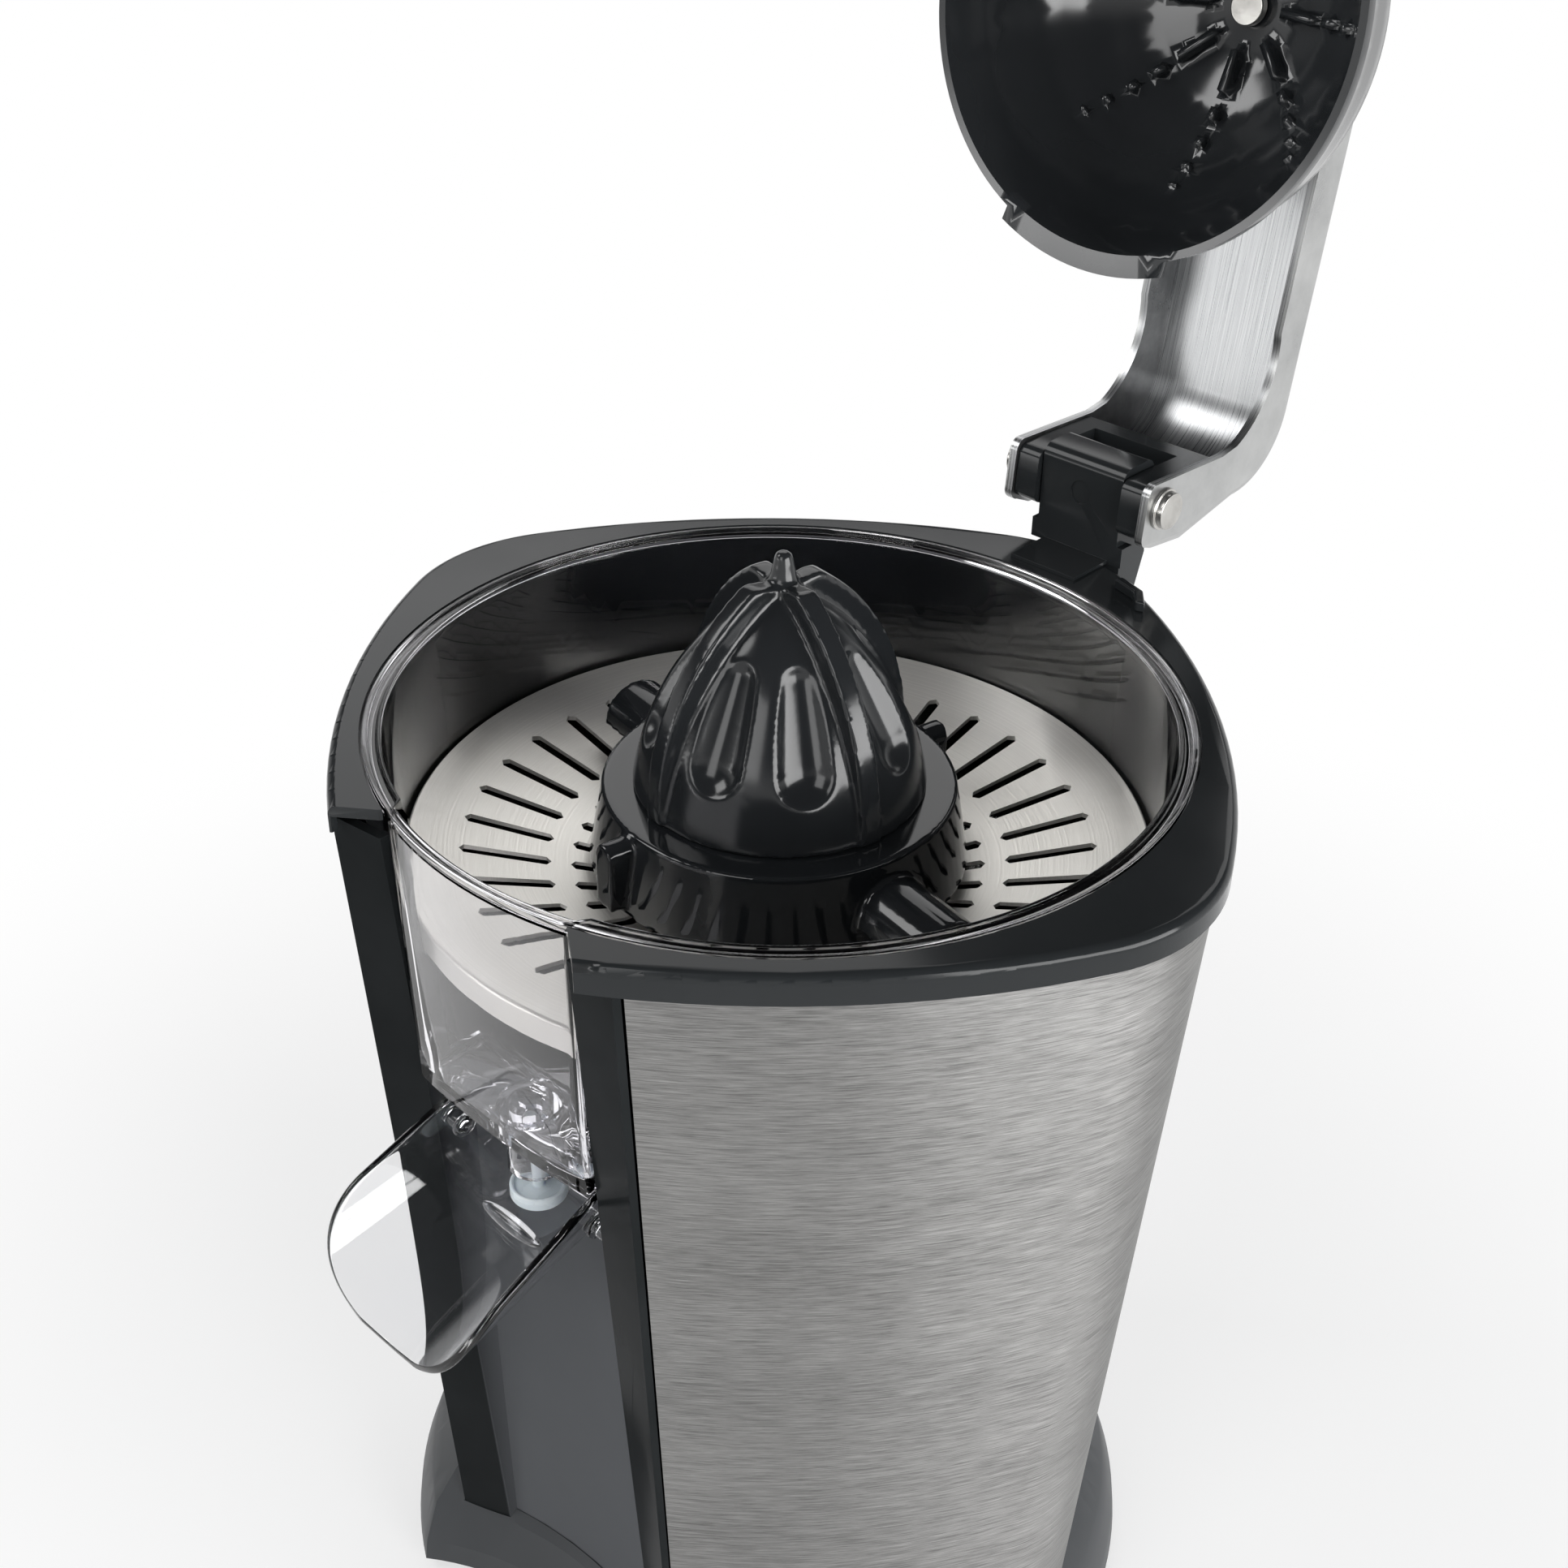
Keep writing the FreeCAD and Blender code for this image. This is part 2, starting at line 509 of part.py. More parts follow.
base_screws = body("base_screws")
heads = sketch(base_screws, "XY", s("foot_h"))
shanks = sketch(base_screws, "XY", s("foot_h") + s("screw_head_h"))
for sx in (1, -1):
    for sy in (1, -1):
        polygon(heads, s("screw_head_r"), 6, 0.0, s("screw_x") * sx, s("screw_y") * sy)
        circle(shanks, s("screw_r") - 0.02, s("screw_x") * sx, s("screw_y") * sy)
pad(base_screws, heads, s("screw_head_h"))
pad(base_screws, shanks, s("screw_l") - 6)

# Steel jacket: tapered sheet wrapped round the body, open at the front.
steel_jacket = body("steel_jacket")
ends = [(s("jacket_foot"), s("inset_foot")), (level("z_jacket_top"), s("inset_top"))]
loft(steel_jacket, [diamond(sketch(steel_jacket, "XY", z), inset) for z, inset in ends])
inner = [diamond(sketch(steel_jacket, "XY", z), inset + s("jacket_t")) for z, inset in ends]
loft(steel_jacket, inner, True)
doors = []
for z, half in ((s("jacket_foot") - 1, s("open_foot")), (level("z_jacket_top") + 1, s("open_top"))):
    doors.append(box(sketch(steel_jacket, "XY", z), -half, -120, half, -50))
loft(steel_jacket, doors, True)

# Front panel: one folded band, from the left pillar round the hollow to the right pillar.
front_panel = body("front_panel")
bands = []
for z, end in ((s("jacket_foot"), "foot"), (level("z_panel"), "top")):
    ax, ay = s("pillar_%s_x" % end), s("pillar_%s_y" % end)
    cx, cy = s("cheek_%s_x" % end), s("cheek_%s_y" % end)
    bx, by = s("back_%s_x" % end), s("back_%s_y" % end)
    wall = s("panel_t")
    back = s("back_%s_r" % end)
    steps = s("back_steps").value
    hollow = bow((-bx, -by), (bx, -by), back, -1, steps)
    behind = bow((bx + wall, wall - by), (-bx - wall, wall - by), back + wall, 1, steps)
    path = [(-ax, -ay), (-cx, -cy), (-bx, -by), *hollow, (bx, -by), (cx, -cy), (ax, -ay),
            (ax, wall - ay), (cx + wall, wall - cy), (bx + wall, wall - by), *behind,
            (-bx - wall, wall - by), (-cx - wall, wall - cy), (-ax, wall - ay)]
    bands.append(outline(sketch(front_panel, "XY", z), path))
loft(front_panel, bands)
room = s("cheek_top_x")
block(front_panel, -room, -100, room, -40, level("z_bay"), DECK, True)
behind = []
for z, near in ((level("z_bay"), s("pillar_back_bay")), (DECK, s("pillar_back_top"))):
    behind.append(box(sketch(front_panel, "XY", z), -60, -near, 60, -40))
loft(front_panel, behind, True)
studs = circle(sketch(front_panel, "YZ"), s("stud_hole"), -s("spout_y"), level("z_spout"))
cut(front_panel, studs, 80, both=True)

# Deck: flat top with a skirt, the round well that holds the bowl, and a gap at the front for the window.
top_deck = body("top_deck")
slab = pad(top_deck, diamond(sketch(top_deck, "XY", DECK - s("deck_h")), 0), s("deck_h"))
soften(top_deck, slab, s("deck_round"), lambda at, edge: at.z > DECK.value - 0.01)
hollow = s("deck_h") - s("deck_skin")
cut(top_deck, diamond(sketch(top_deck, "XY", DECK - s("deck_h")), s("skirt_t")), hollow)
disc(top_deck, s("well_hole_r"), DECK - s("deck_h") - 1, DECK + 1, remove=True)
t = s("well_t")
profile = [(s("tube_bore"), level("z_well_floor") - t), (s("tube_bore"), level("z_tube")),
           (s("tube_r"), level("z_tube")), (s("tube_r"), level("z_well_floor")),
           (s("well_floor_r"), level("z_well_floor")), (s("ledge_r"), level("z_ledge")),
           (s("well_hole_r") + t, level("z_ledge")), (s("well_floor_r") + t, level("z_well_floor") - t)]
spin(top_deck, outline(sketch(top_deck, "XZ"), profile))
gap = s("well_gap_x")
block(top_deck, -gap, -120, gap, -s("well_gap_y"), level("z_well_floor") - 10, level("z_ledge"), True)
out, inn, ny = s("notch_out"), s("notch_in"), s("notch_y")
front = [(-out, -120), (out, -120), (out, -ny - (out - inn) * 0.75), (inn, -ny), (s("win_half"), -ny + 2),
         (-s("win_half"), -ny + 2), (-inn, -ny), (-out, -ny - (out - inn) * 0.75)]
cut(top_deck, outline(sketch(top_deck, "XY", DECK - s("deck_h") - 1), front), s("deck_h") + 2)

# Clear bowl with the flat window and the drain at the front.
juice_bowl = body("juice_bowl")
outer = [(0, level("z_bowl_floor")), (s("bowl_floor_r"), level("z_bowl_floor")),
         (s("bowl_low_r"), level("z_bowl_low")), (s("bowl_top_r"), DECK - s("rim_h")),
         (s("bowl_r"), DECK - s("rim_h")), (s("bowl_r"), DECK), (0, DECK)]
spin(juice_bowl, outline(sketch(juice_bowl, "XZ"), outer))


def window(drawn, half, radius, front_y=None):
    edge = front_y if front_y is not None else (radius * radius - half * half).root()
    back = s("win_back")
    path = [(half, -back), (-half, -back), (-half, -edge), (half, -edge)]
    return outline(drawn, path, {2: (radius, 1)})


t = s("bowl_t")
loft(juice_bowl, [
    window(sketch(juice_bowl, "XY", level("z_win_foot")), s("win_foot_half"), s("win_foot_r"),
           s("win_foot_y")),
    window(sketch(juice_bowl, "XY", DECK), s("win_half"), s("bowl_r"))])
inside = [(0, level("z_bowl_floor") + t), (s("bowl_floor_r") - t, level("z_bowl_floor") + t),
          (s("seat_in"), level("z_seat")), (s("seat_r"), level("z_seat")),
          (s("lip_in"), DECK + 1), (0, DECK + 1)]
spin(juice_bowl, outline(sketch(juice_bowl, "XZ"), inside), True)
loft(juice_bowl, [
    window(sketch(juice_bowl, "XY", level("z_chute")), s("win_foot_half") - t, s("win_foot_r") - t,
           s("win_foot_y") - t),
    window(sketch(juice_bowl, "XY", DECK + 1), s("win_half") - t, s("bowl_r") - t)], True)
groove = [(s("groove_in"), DECK - s("groove_d")), (s("groove_out"), DECK - s("groove_d")),
          (s("groove_out"), DECK + 1), (s("groove_in"), DECK + 1)]
spin(juice_bowl, outline(sketch(juice_bowl, "XZ"), groove), True)
block(juice_bowl, t - s("win_foot_half"), t * 1.5 - s("win_foot_y"), s("win_foot_half") - t,
      -s("win_back") - 2,
      level("z_win_foot") - 1, level("z_chute") - t, True)
disc(juice_bowl, s("hub_r"), level("z_bowl_floor"), level("z_hub"))
disc(juice_bowl, s("hub_bore"), level("z_bowl_floor") - 1, level("z_hub") + 1, remove=True)
dy = -s("drain_y")
disc(juice_bowl, s("seat_ring_r"), level("z_chute") - t, level("z_chute") + s("seat_ring_h"), 0, dy)
disc(juice_bowl, s("drain_r"), level("z_drain"), level("z_chute"), 0, dy)
disc(juice_bowl, s("drain_bore"), level("z_drain") - 1, level("z_chute") + 3, 0, dy, remove=True)
low = level("z_chute") - s("spider_h") - 2
w = s("spider_w") / 2
block(juice_bowl, -s("drain_bore") - 0.5, dy - w, s("drain_bore") + 0.5, dy + w, low, low + s("spider_h"))
disc(juice_bowl, s("spider_r"), low, low + s("spider_h"), 0, dy)
disc(juice_bowl, s("stem_hole"), low - 1, low + s("spider_h") + 1, 0, dy, remove=True)

# Pressed steel sieve, dished towards the middle, with two rings of slots.
sieve = body("sieve")
t = s("sieve_t")
profile = [(s("sieve_bore"), level("z_sieve_flat")), (s("sieve_flat_r"), level("z_sieve_flat")),
           (s("sieve_r") - 0.7, level("z_sieve")), (s("sieve_r"), level("z_sieve") - 0.7),
           (s("sieve_r"), level("z_sieve_foot")), (s("sieve_r") - t, level("z_sieve_foot")),
           (s("sieve_r") - t, level("z_sieve") - t - 0.4), (s("sieve_flat_r"), level("z_sieve_flat") - t),
           (s("sieve_bore"), level("z_sieve_flat") - t)]
spin(sieve, outline(sketch(sieve, "XZ"), profile))


def slot(drawn, start, stop, width):
    half, nip = width / 2, s("slot_round")
    outline(drawn, [(start, 0), (start + nip, -half), (stop - nip, -half), (stop, 0), (stop - nip, half),
                    (start + nip, half)])


slots = sketch(sieve, "XY", level("z_sieve") + 1)
slot(slots, s("slot_in"), s("slot_out"), s("slot_w"))
slot(slots, s("slot2_in"), s("slot2_out"), s("slot_w"))
around(sieve, [cut(sieve, slots, 14, down=True)], s("slot_count"))

# Reamer: ogive cone with four blades, and two long hollows between each pair of blades.
reamer_cone = body("reamer_cone", turn=s("cone_turn").value)
rim, crown = (s("cone_r"), level("z_cone")), (s("nib_r") + s("nib_foot"), level("z_nib"))
profile = [(0, level("z_cone")), rim, crown, (s("nib_r"), level("z_nib") + s("nib_foot")),
           (s("nib_tip_r"), level("z_nib_tip") - s("nib_round")),
           (s("nib_tip_r") - s("nib_round"), level("z_nib_tip")), (0, level("z_nib_tip"))]
spin(reamer_cone, outline(sketch(reamer_cone, "XZ"), profile, {1: (s("cone_bulge"), 1)}))
low = FreeCAD.Vector(s("flute_low_out").value, 0, level("z_flute_low").value)
top = FreeCAD.Vector(s("flute_top_out").value, 0, level("z_flute_top").value)
along = FreeCAD.Rotation(FreeCAD.Vector(0, 0, 1), top - low)
for panel in range(8):
    hand = 1 if panel % 2 else -1
    swing = FreeCAD.Rotation(FreeCAD.Vector(0, 0, 1), 45.0 + panel // 2 * 90 + hand * s("flute_turn").value)
    flute = reamer_cone.newObject("PartDesign::SubtractiveCone", "flute")
    flute.setExpression("Radius1", "sizes.flute_low_r")
    flute.setExpression("Radius2", "sizes.flute_top_r")
    flute.Height = (top - low).Length
    flute.Placement = FreeCAD.Placement(swing.multVec(low), swing.multiply(along))
    for centre, key in ((low, "sizes.flute_low_r"), (top, "sizes.flute_top_r")):
        end = reamer_cone.newObject("PartDesign::SubtractiveSphere", "flute_end")
        end.setExpression("Radius", key)
        end.Placement = FreeCAD.Placement(swing.multVec(centre), swing.multiply(along))
        reamer_cone.Tip = end
crest, foot = (s("crest_r"), level("z_crest")), (s("cone_r") + s("blade_foot"), level("z_cone"))
fin = [(s("blade_in"), level("z_blade_root")), (s("blade_root"), level("z_blade_root")),
       (s("cone_r") - s("cone_wall"), level("z_cone")), foot, crest, (s("blade_in"), level("z_blade"))]
drawn = outline(sketch(reamer_cone, "XZ"), fin, {3: (s("blade_bulge"), 1)})
around(reamer_cone, [pad(reamer_cone, drawn, s("blade_w"), both=True)], 4)
hollow = [(s("cone_hub_r"), level("z_cone") - 1), (s("cone_r") - s("cone_wall"), level("z_cone") - 1),
          (s("cone_hub_r"), level("z_cone_hollow"))]
spin(reamer_cone, outline(sketch(reamer_cone, "XZ"), hollow), True)
disc(reamer_cone, s("cone_bore"), level("z_cone") - 1, level("z_spindle_top") + 0.5, remove=True)

# Ring below the cone, with two half pipes that sweep the sieve and two short tabs.
sweeper_ring = body("sweeper_ring", turn=s("cone_turn").value)
t = s("ring_t")
profile = [(0, level("z_cone")), (s("ring_r"), level("z_cone")), (s("ring_foot_r"), level("z_ring_foot")),
           (s("ring_foot_r") - t, level("z_ring_foot")), (s("ring_r") - t, level("z_cone") - t),
           (0, level("z_cone") - t)]
spin(sweeper_ring, outline(sketch(sweeper_ring, "XZ"), profile))
arch = sketch(sweeper_ring, "YZ", s("sweep_in"))
r, i = s("sweep_r"), s("sweep_r") - s("sweep_t")
zs = level("z_sweep")
outline(arch, [(r, zs), (0, zs + r), (-r, zs), (-i, zs), (0, zs + i), (i, zs)],
        {0: (r, 1), 1: (r, 1), 3: (i, -1), 4: (i, -1)})
around(sweeper_ring, [pad(sweeper_ring, arch, s("sweep_out") - s("sweep_in"))], 2)
post = sketch(sweeper_ring, "XZ", s("tab_in"))
r, zs, zf = s("tab_r"), level("z_tab"), level("z_tab_foot")
outline(post, [(r, zf), (r, zs), (0, zs + r), (-r, zs), (-r, zf)], {1: (r, 1), 2: (r, 1)})
around(sweeper_ring, [pad(sweeper_ring, post, s("tab_out") - s("tab_in"))], 2)
cut(sweeper_ring, hexagon(sketch(sweeper_ring, "XY", level("z_cone") - t - 1), s("ring_bore")), t + 2)

# Drive: spindle, two gear stages and a motor on the same axis.
drive_spindle = lathe("drive_spindle", [(0, level("z_spindle_foot")),
                                        (s("spindle_r"), level("z_spindle_foot")),
                      (s("spindle_r"), level("z_spindle_top")), (0, level("z_spindle_top"))])
LAND = level("z_cone") - s("ring_t")

# six-sided driver below the ring, which turns the ring and the cone
drive_flange = body("drive_flange", turn=s("cone_turn").value)
pad(drive_flange, hexagon(sketch(drive_flange, "XY", LAND - 3), s("ring_bore") + 3), 3)
pad(drive_flange, hexagon(sketch(drive_flange, "XY", LAND), s("ring_bore") - 0.05), s("ring_t"))
disc(drive_flange, s("spindle_r"), LAND - 4, level("z_cone") + 1, remove=True)

spindle_bush = body("spindle_bush")
disc(spindle_bush, s("tube_bore"), level("z_bush_top") - s("bush_l"), level("z_bush_top"),
     bore=s("bush_bore"))
spindle_seal = body("spindle_seal")
disc(spindle_seal, s("seal_r"), level("z_tube"), level("z_tube") + s("seal_h"), bore=s("spindle_r") + 0.08)


def teeth(made, count, low, width, first, bore):
    """Spur gear: root disc and straight sided teeth, the first tooth at a given angle."""
    mod = s("mod")
    pitch = mod * count / 2
    root, tip = pitch - mod * 0.95, pitch + mod * 0.65
    disc(made, root, low, size(low) + width)
    drawn = sketch(made, "XY", low)
    half_root, half_tip = mod * 0.85, mod * 0.36
    c, n = math.cos(math.radians(first)), math.sin(math.radians(first))
    points = []
    for along, aside in ((root - 0.6, -half_root), (tip, -half_tip), (tip, half_tip),
                         (root - 0.6, half_root)):
        points.append((along * c - aside * n, along * n + aside * c))
    outline(drawn, points)
    around(made, [pad(made, drawn, width)], count)
    disc(made, bore, size(low) - 1, size(low) + width + 1, remove=True)


output_gear = body("output_gear")
teeth(output_gear, int(s("gear_out_n").value), level("z_out_gear"), s("gear_w"), 90.0, s("spindle_r"))
idler_gear = body("idler_gear", y=s("centre") + 0.35)
teeth(idler_gear, int(s("idler_large_n").value), level("z_large"), s("large_w"), -90.0 + 6.0,
      s("axle_r") + 0.05)
small = body("idler_small", y=s("centre") + 0.35)
teeth(small, int(s("idler_small_n").value), level("z_large") + s("large_w"), s("small_w") + 3, -90.0 + 15.0,
      s("axle_r") + 0.05)
motor_pinion = body("motor_pinion")
teeth(motor_pinion, int(s("pinion_n").value), level("z_pinion"), s("pinion_w"), 90.0, s("shaft_r"))

idler_axle = body("idler_axle", y=s("centre") + 0.35)
disc(idler_axle, s("axle_r"), level("z_plate"), level("z_axle_top"))

gear_plate = body("gear_plate")
block(gear_plate, -s("plate_x"), -s("plate_y1"), s("plate_x"), s("plate_y2"), level("z_plate"),
      level("z_plate") + s("plate_t"))
disc(gear_plate, 10, level("z_plate") - 1, level("z_plate") + 9, remove=True)
disc(gear_plate, s("axle_r"), level("z_plate") - 1, level("z_plate") + 9, 0, s("centre") + 0.35,
     remove=True)
gear_posts = body("gear_posts")
drawn = sketch(gear_posts, "XY", level("z_plate") + s("plate_t"))
for sx in (1, -1):
    for sy in (1, -1):
        middle_x, middle_y, half = s("post_x") * sx, s("post_y") * sy, s("post_r")
        box(drawn, middle_x - half, middle_y - half, middle_x + half, middle_y + half)
UNDER = level("z_well_floor") - s("well_t")
pad(gear_posts, drawn, UNDER - level("z_plate") - s("plate_t"))

motor_can = body("motor_can")
CAN_H = level("z_plate") - level("z_can_foot")
pad(motor_can, polygon(sketch(motor_can, "XY", level("z_can_foot")), s("can_r"), 8, 22.5), CAN_H)
inner = polygon(sketch(motor_can, "XY", level("z_can_foot") - 1), s("can_r") - s("can_t"), 8, 22.5)
cut(motor_can, inner, CAN_H + 1 - s("can_lid"))
disc(motor_can, 8, level("z_can_foot"), level("z_plate") + 1, remove=True)
motor_cap = body("motor_cap")
drawn = polygon(sketch(motor_cap, "XY", level("z_can_foot") - s("cap_h")), s("cap_r"), 8, 22.5)
circle(drawn, s("shaft_bore"))
pad(motor_cap, drawn, s("cap_h"))
slots = sketch(motor_cap, "XY", level("z_can_foot") - s("cap_h") - 1)
box(slots, 14, -4, 26, 4)
around(motor_cap, [cut(motor_cap, slots, s("cap_h") + 2)], 6)
motor_shaft = body("motor_shaft")
disc(motor_shaft, s("shaft_r"), level("z_fan") - 2, level("z_pinion") + s("pinion_w"))
motor_core = body("motor_core")
disc(motor_core, s("core_r"), level("z_can_foot") + s("field_end"), level("z_plate") - s("field_end"),
     bore=s("shaft_r"))
motor_field = body("motor_field")
drawn = polygon(sketch(motor_field, "XY", level("z_can_foot") + s("field_end")), s("can_r") - s("can_t"),
                8, 22.5)
circle(drawn, s("core_r") + s("air_gap"))
pad(motor_field, drawn, CAN_H - s("field_end") * 2)
cooling_fan = body("cooling_fan")
disc(cooling_fan, s("fan_r"), level("z_fan"), level("z_fan") + 1.6, bore=s("shaft_r"))
disc(cooling_fan, 5.5, level("z_fan"), level("z_fan") + s("fan_h"), bore=s("shaft_r"))
blade = box(sketch(cooling_fan, "XY", level("z_fan")), 9, -0.8, s("fan_r") - 0.5, 0.8)
around(cooling_fan, [pad(cooling_fan, blade, s("fan_h"))], 9)

# Pressing the cone lowers the spindle and its collar, and the collar's arm closes the switch.
press_collar = body("press_collar")
low = level("z_collar")
disc(press_collar, s("collar_r"), low, low + s("collar_t"))
half = s("collar_arm_w") / 2
block(press_collar, -s("collar_arm"), -half, 0, half, low, low + s("collar_t"))
disc(press_collar, s("collar_bore"), low - 1, low + s("collar_t") + 1, remove=True)
spindle_clips = body("spindle_clips")
for start in (low - s("clip_t") - 0.1, low + s("collar_t") + 0.1):
    drawn = polygon(sketch(spindle_clips, "XY", start), s("clip_r"), 8)
    circle(drawn, s("spindle_r"))
    pad(spindle_clips, drawn, s("clip_t"))
switch_button = body("switch_button")
disc(switch_button, s("button_r"), level("z_switch_top") - s("button_sink"), low, -s("button_x"), 0)
micro_switch = body("micro_switch")
half = s("switch_w") / 2
block(micro_switch, -s("switch_x2"), -half, -s("switch_x1"), half, level("z_switch_foot"),
      level("z_switch_top"))
disc(micro_switch, s("button_r") + 0.15, level("z_switch_top") - s("button_sink") - 2.2,
     level("z_switch_top") + 1,
     -s("button_x"), 0, remove=True)
switch_bracket = body("switch_bracket")
edge = -s("switch_x2")
block(switch_bracket, edge - s("bracket_t"), -half, edge, half, level("z_switch_foot"), UNDER)

# Hinge post behind the bowl, and the two catches beside it.
hinge_post = body("hinge_post")
front, back, lid, bend = s("post_front"), s("post_back"), level("z_post"), s("post_round")
foot = [(front, DECK), (front + 2, DECK), (front + 2, level("z_heel")), (back - 4, level("z_heel")),
        (back, DECK), (back - 1.4, DECK + s("waist_h")), (back, DECK + s("waist_h") * 2),
        (back, lid - bend), (back - bend, lid),
        (front + bend, lid), (front, lid - bend)]
drawn = outline(sketch(hinge_post, "YZ"), foot, {7: (bend, 1), 9: (bend, 1)})
pad(hinge_post, drawn, s("knuckle_w"), both=True)
block(hinge_post, -s("plate_half"), s("plate_front"), s("plate_half"), front + 1, DECK, DECK + s("plate_h"))
for hand in (1, -1):
    edge = s("knuckle_w") / 2 * hand
    block(hinge_post, edge - 1 * hand, s("post_front"), edge + s("tab_w") * hand, s("post_front") + 4, DECK,
          DECK + s("tab_h"))
mark = circle(sketch(hinge_post, "XZ", -s("post_front")), s("mark_r"), 0, level("z_mark"))
cut(hinge_post, mark, s("mark_d"), down=True)
cut(hinge_post, circle(sketch(hinge_post, "YZ"), s("pin_bore"), s("pin_y"), level("z_pin")), 60, both=True)
bowl_catches = body("bowl_catches")
w = s("catch_w")
spine = [(s("catch_x"), s("catch_y")), (s("catch_turn_x"), s("catch_turn_y")),
         (s("catch_end_x"), s("catch_end_y"))]
path = [*spine, (spine[2][0] + w, spine[2][1] + w * 0.4), (spine[1][0] + w * 0.8, spine[1][1] + w * 0.8),
        (spine[0][0] + w * 0.4, spine[0][1] + w)]
pad(bowl_catches, outline(sketch(bowl_catches, "XY", DECK), path), s("catch_h"))

# Lever arm: folded channel, drawn closed from the pin.
lever_arm = hinged("lever_arm")
lo, hi, end = s("arm_lo"), s("arm_hi"), s("arm_end")
side = [(-6.2, -4.6), (-3.4, -7.0), (5.8, -6.4), (8.8, -3.6), (10.4, 2.0), (10.1, 11.6), (3.0, 31.5),
        (-16.0, hi), (s("nose_r") - end, hi), (-end, hi - 12), (-end, lo - 5), (26 - end, lo), (-36.0, lo),
        (-10.6, 27.5),
        (-8.9, 21.9)]
bends = {0: (s("fork_round"), 1), 2: (s("fork_round"), 1), 6: (s("bend_out_r"), 1), 8: (s("nose_r"), 1),
         10: (s("nose_in_r"), -1), 12: (s("bend_in_r"), -1)}
channel = pad(lever_arm, outline(sketch(lever_arm, "YZ"), side, bends), s("arm_w"), both=True)
half = s("arm_w").value / 2


def outer_edge(at, edge):
    """Long outer edges of the channel, at both sides of its back."""
    return abs(abs(at.x) - half) < 0.01 and at.z > 4 and (at.y > -3 or at.z > hi.value - 7)


soften(lever_arm, channel, s("arm_round"), outer_edge)
t = s("arm_t")
room = [(-30.0, -30.0), (30.0, -30.0), (30.0, 13.6), (7.4, 13.6), (1.1, 31.0), (-16.0, hi - t),
        (s("nose_r") - end, hi - t),
        (s("nose_wall") - end, hi - 9), (s("nose_wall") - end, lo - 30)]
hollow = outline(sketch(lever_arm, "YZ"), room, {4: (s("bend_out_r") - t, 1)})
cut(lever_arm, hollow, s("arm_w") - t * 2, both=True)
corners = sketch(lever_arm, "XY", hi + 5)
for sx in (1, -1):
    edge, turn = s("arm_w") / 2 * sx, s("tip_r") * sx
    outline(corners, [(edge, s("tip_r") - end), (edge - turn, -end), (edge - turn, -end - 4),
                      (edge + turn, -end - 4),
                      (edge + turn, s("tip_r") - end)], {0: (s("tip_r"), -sx)})
cut(lever_arm, corners, 90, down=True)
cut(lever_arm, circle(sketch(lever_arm, "YZ"), s("pin_r")), 80, both=True)
reach = s("pin_y")
disc(lever_arm, s("dome_screw_r"), hi - 10, hi + 1, 0, -reach, remove=True)

arm_liner = hinged("arm_liner")
form = [(-5.3, -3.9), (-3.1, -6.1), (5.4, -5.5), (7.9, -3.2), (9.2, 2.0), (8.9, 11.0), (7.2, 13.5),
        (3.4, 24.0),
        (1.0, 30.6), (-3.4, 29.6), (-8.2, 20.6), (-6.2, 2.0)]
bends = {0: (s("fork_round"), 1), 2: (s("fork_round"), 1)}
pad(arm_liner, outline(sketch(arm_liner, "YZ"), form, bends), s("liner_w"), both=True)
room = [(-20.0, -20.0), (20.0, -20.0), (20.0, 12.6), (2.0, 12.6), (-2.0, 15.2), (-20.0, 15.2)]
cut(arm_liner, outline(sketch(arm_liner, "YZ"), room), s("fork_w"), both=True)
notch = [(-20.0, 21.8), (8.0, 24.4), (7.2, 26.6), (-20.0, 24.0)]
cut(arm_liner, outline(sketch(arm_liner, "YZ"), notch), s("notch_w"), both=True)
cut(arm_liner, circle(sketch(arm_liner, "YZ"), s("pin_r")), 80, both=True)

hinge_pin = hinged("hinge_pin")
pad(hinge_pin, circle(sketch(hinge_pin, "YZ"), s("pin_r")), s("arm_w"), both=True)
for hand in (1, -1):
    drawn = circle(sketch(hinge_pin, "YZ", s("arm_w") / 2 * hand), s("washer_r"))
    pad(hinge_pin, drawn, s("washer_t"), down=hand < 0)
    drawn = circle(sketch(hinge_pin, "YZ", (s("arm_w") / 2 + s("washer_t")) * hand), s("pin_head_r"))
    pad(hinge_pin, drawn, s("pin_head_t") - s("washer_t"), down=hand < 0)

arm_grip = hinged("arm_grip")
stop = s("nose_wall") + 4 - end
form = [(s("grip_len") - end, lo + 1.5), (s("grip_len") - end, hi - t), (stop, hi - t), (stop, lo - 0.5),
        (26 - end, lo + 1.5)]
pad(arm_grip, outline(sketch(arm_grip, "YZ"), form), s("arm_w") - t * 2, both=True)

# Press dome with rows of ribs inside and a wider lip on the hinge side.
drop = s("dome_drop")
press_dome = hinged("press_dome", -reach, -drop)
web = hi - t + drop
sphere, shell, base = s("dome_sphere"), s("dome_shell"), s("dome_base")
waist = (sphere * sphere - base * base * 4).root()
belly = (shell * shell - base * base * 4).root()
crown = (shell * shell - s("dome_boss_r") * s("dome_boss_r")).root() - base
seat, brim, neck = (0, sphere - base), (waist, base), (s("dome_boss_r"), crown)
profile = [seat, *bow(seat, brim, sphere, -1), brim, (s("dome_in_r"), 0), (s("dome_r"), 0),
           (s("dome_r"), base * 0.8),
           (belly, base), *bow((belly, base), neck, shell), neck, (s("dome_boss_r"), web), (0, web)]
spin(press_dome, outline(sketch(press_dome, "XZ"), profile))
lip, wide = s("dome_in_r") + 0.6, s("flap_r")
flap = []
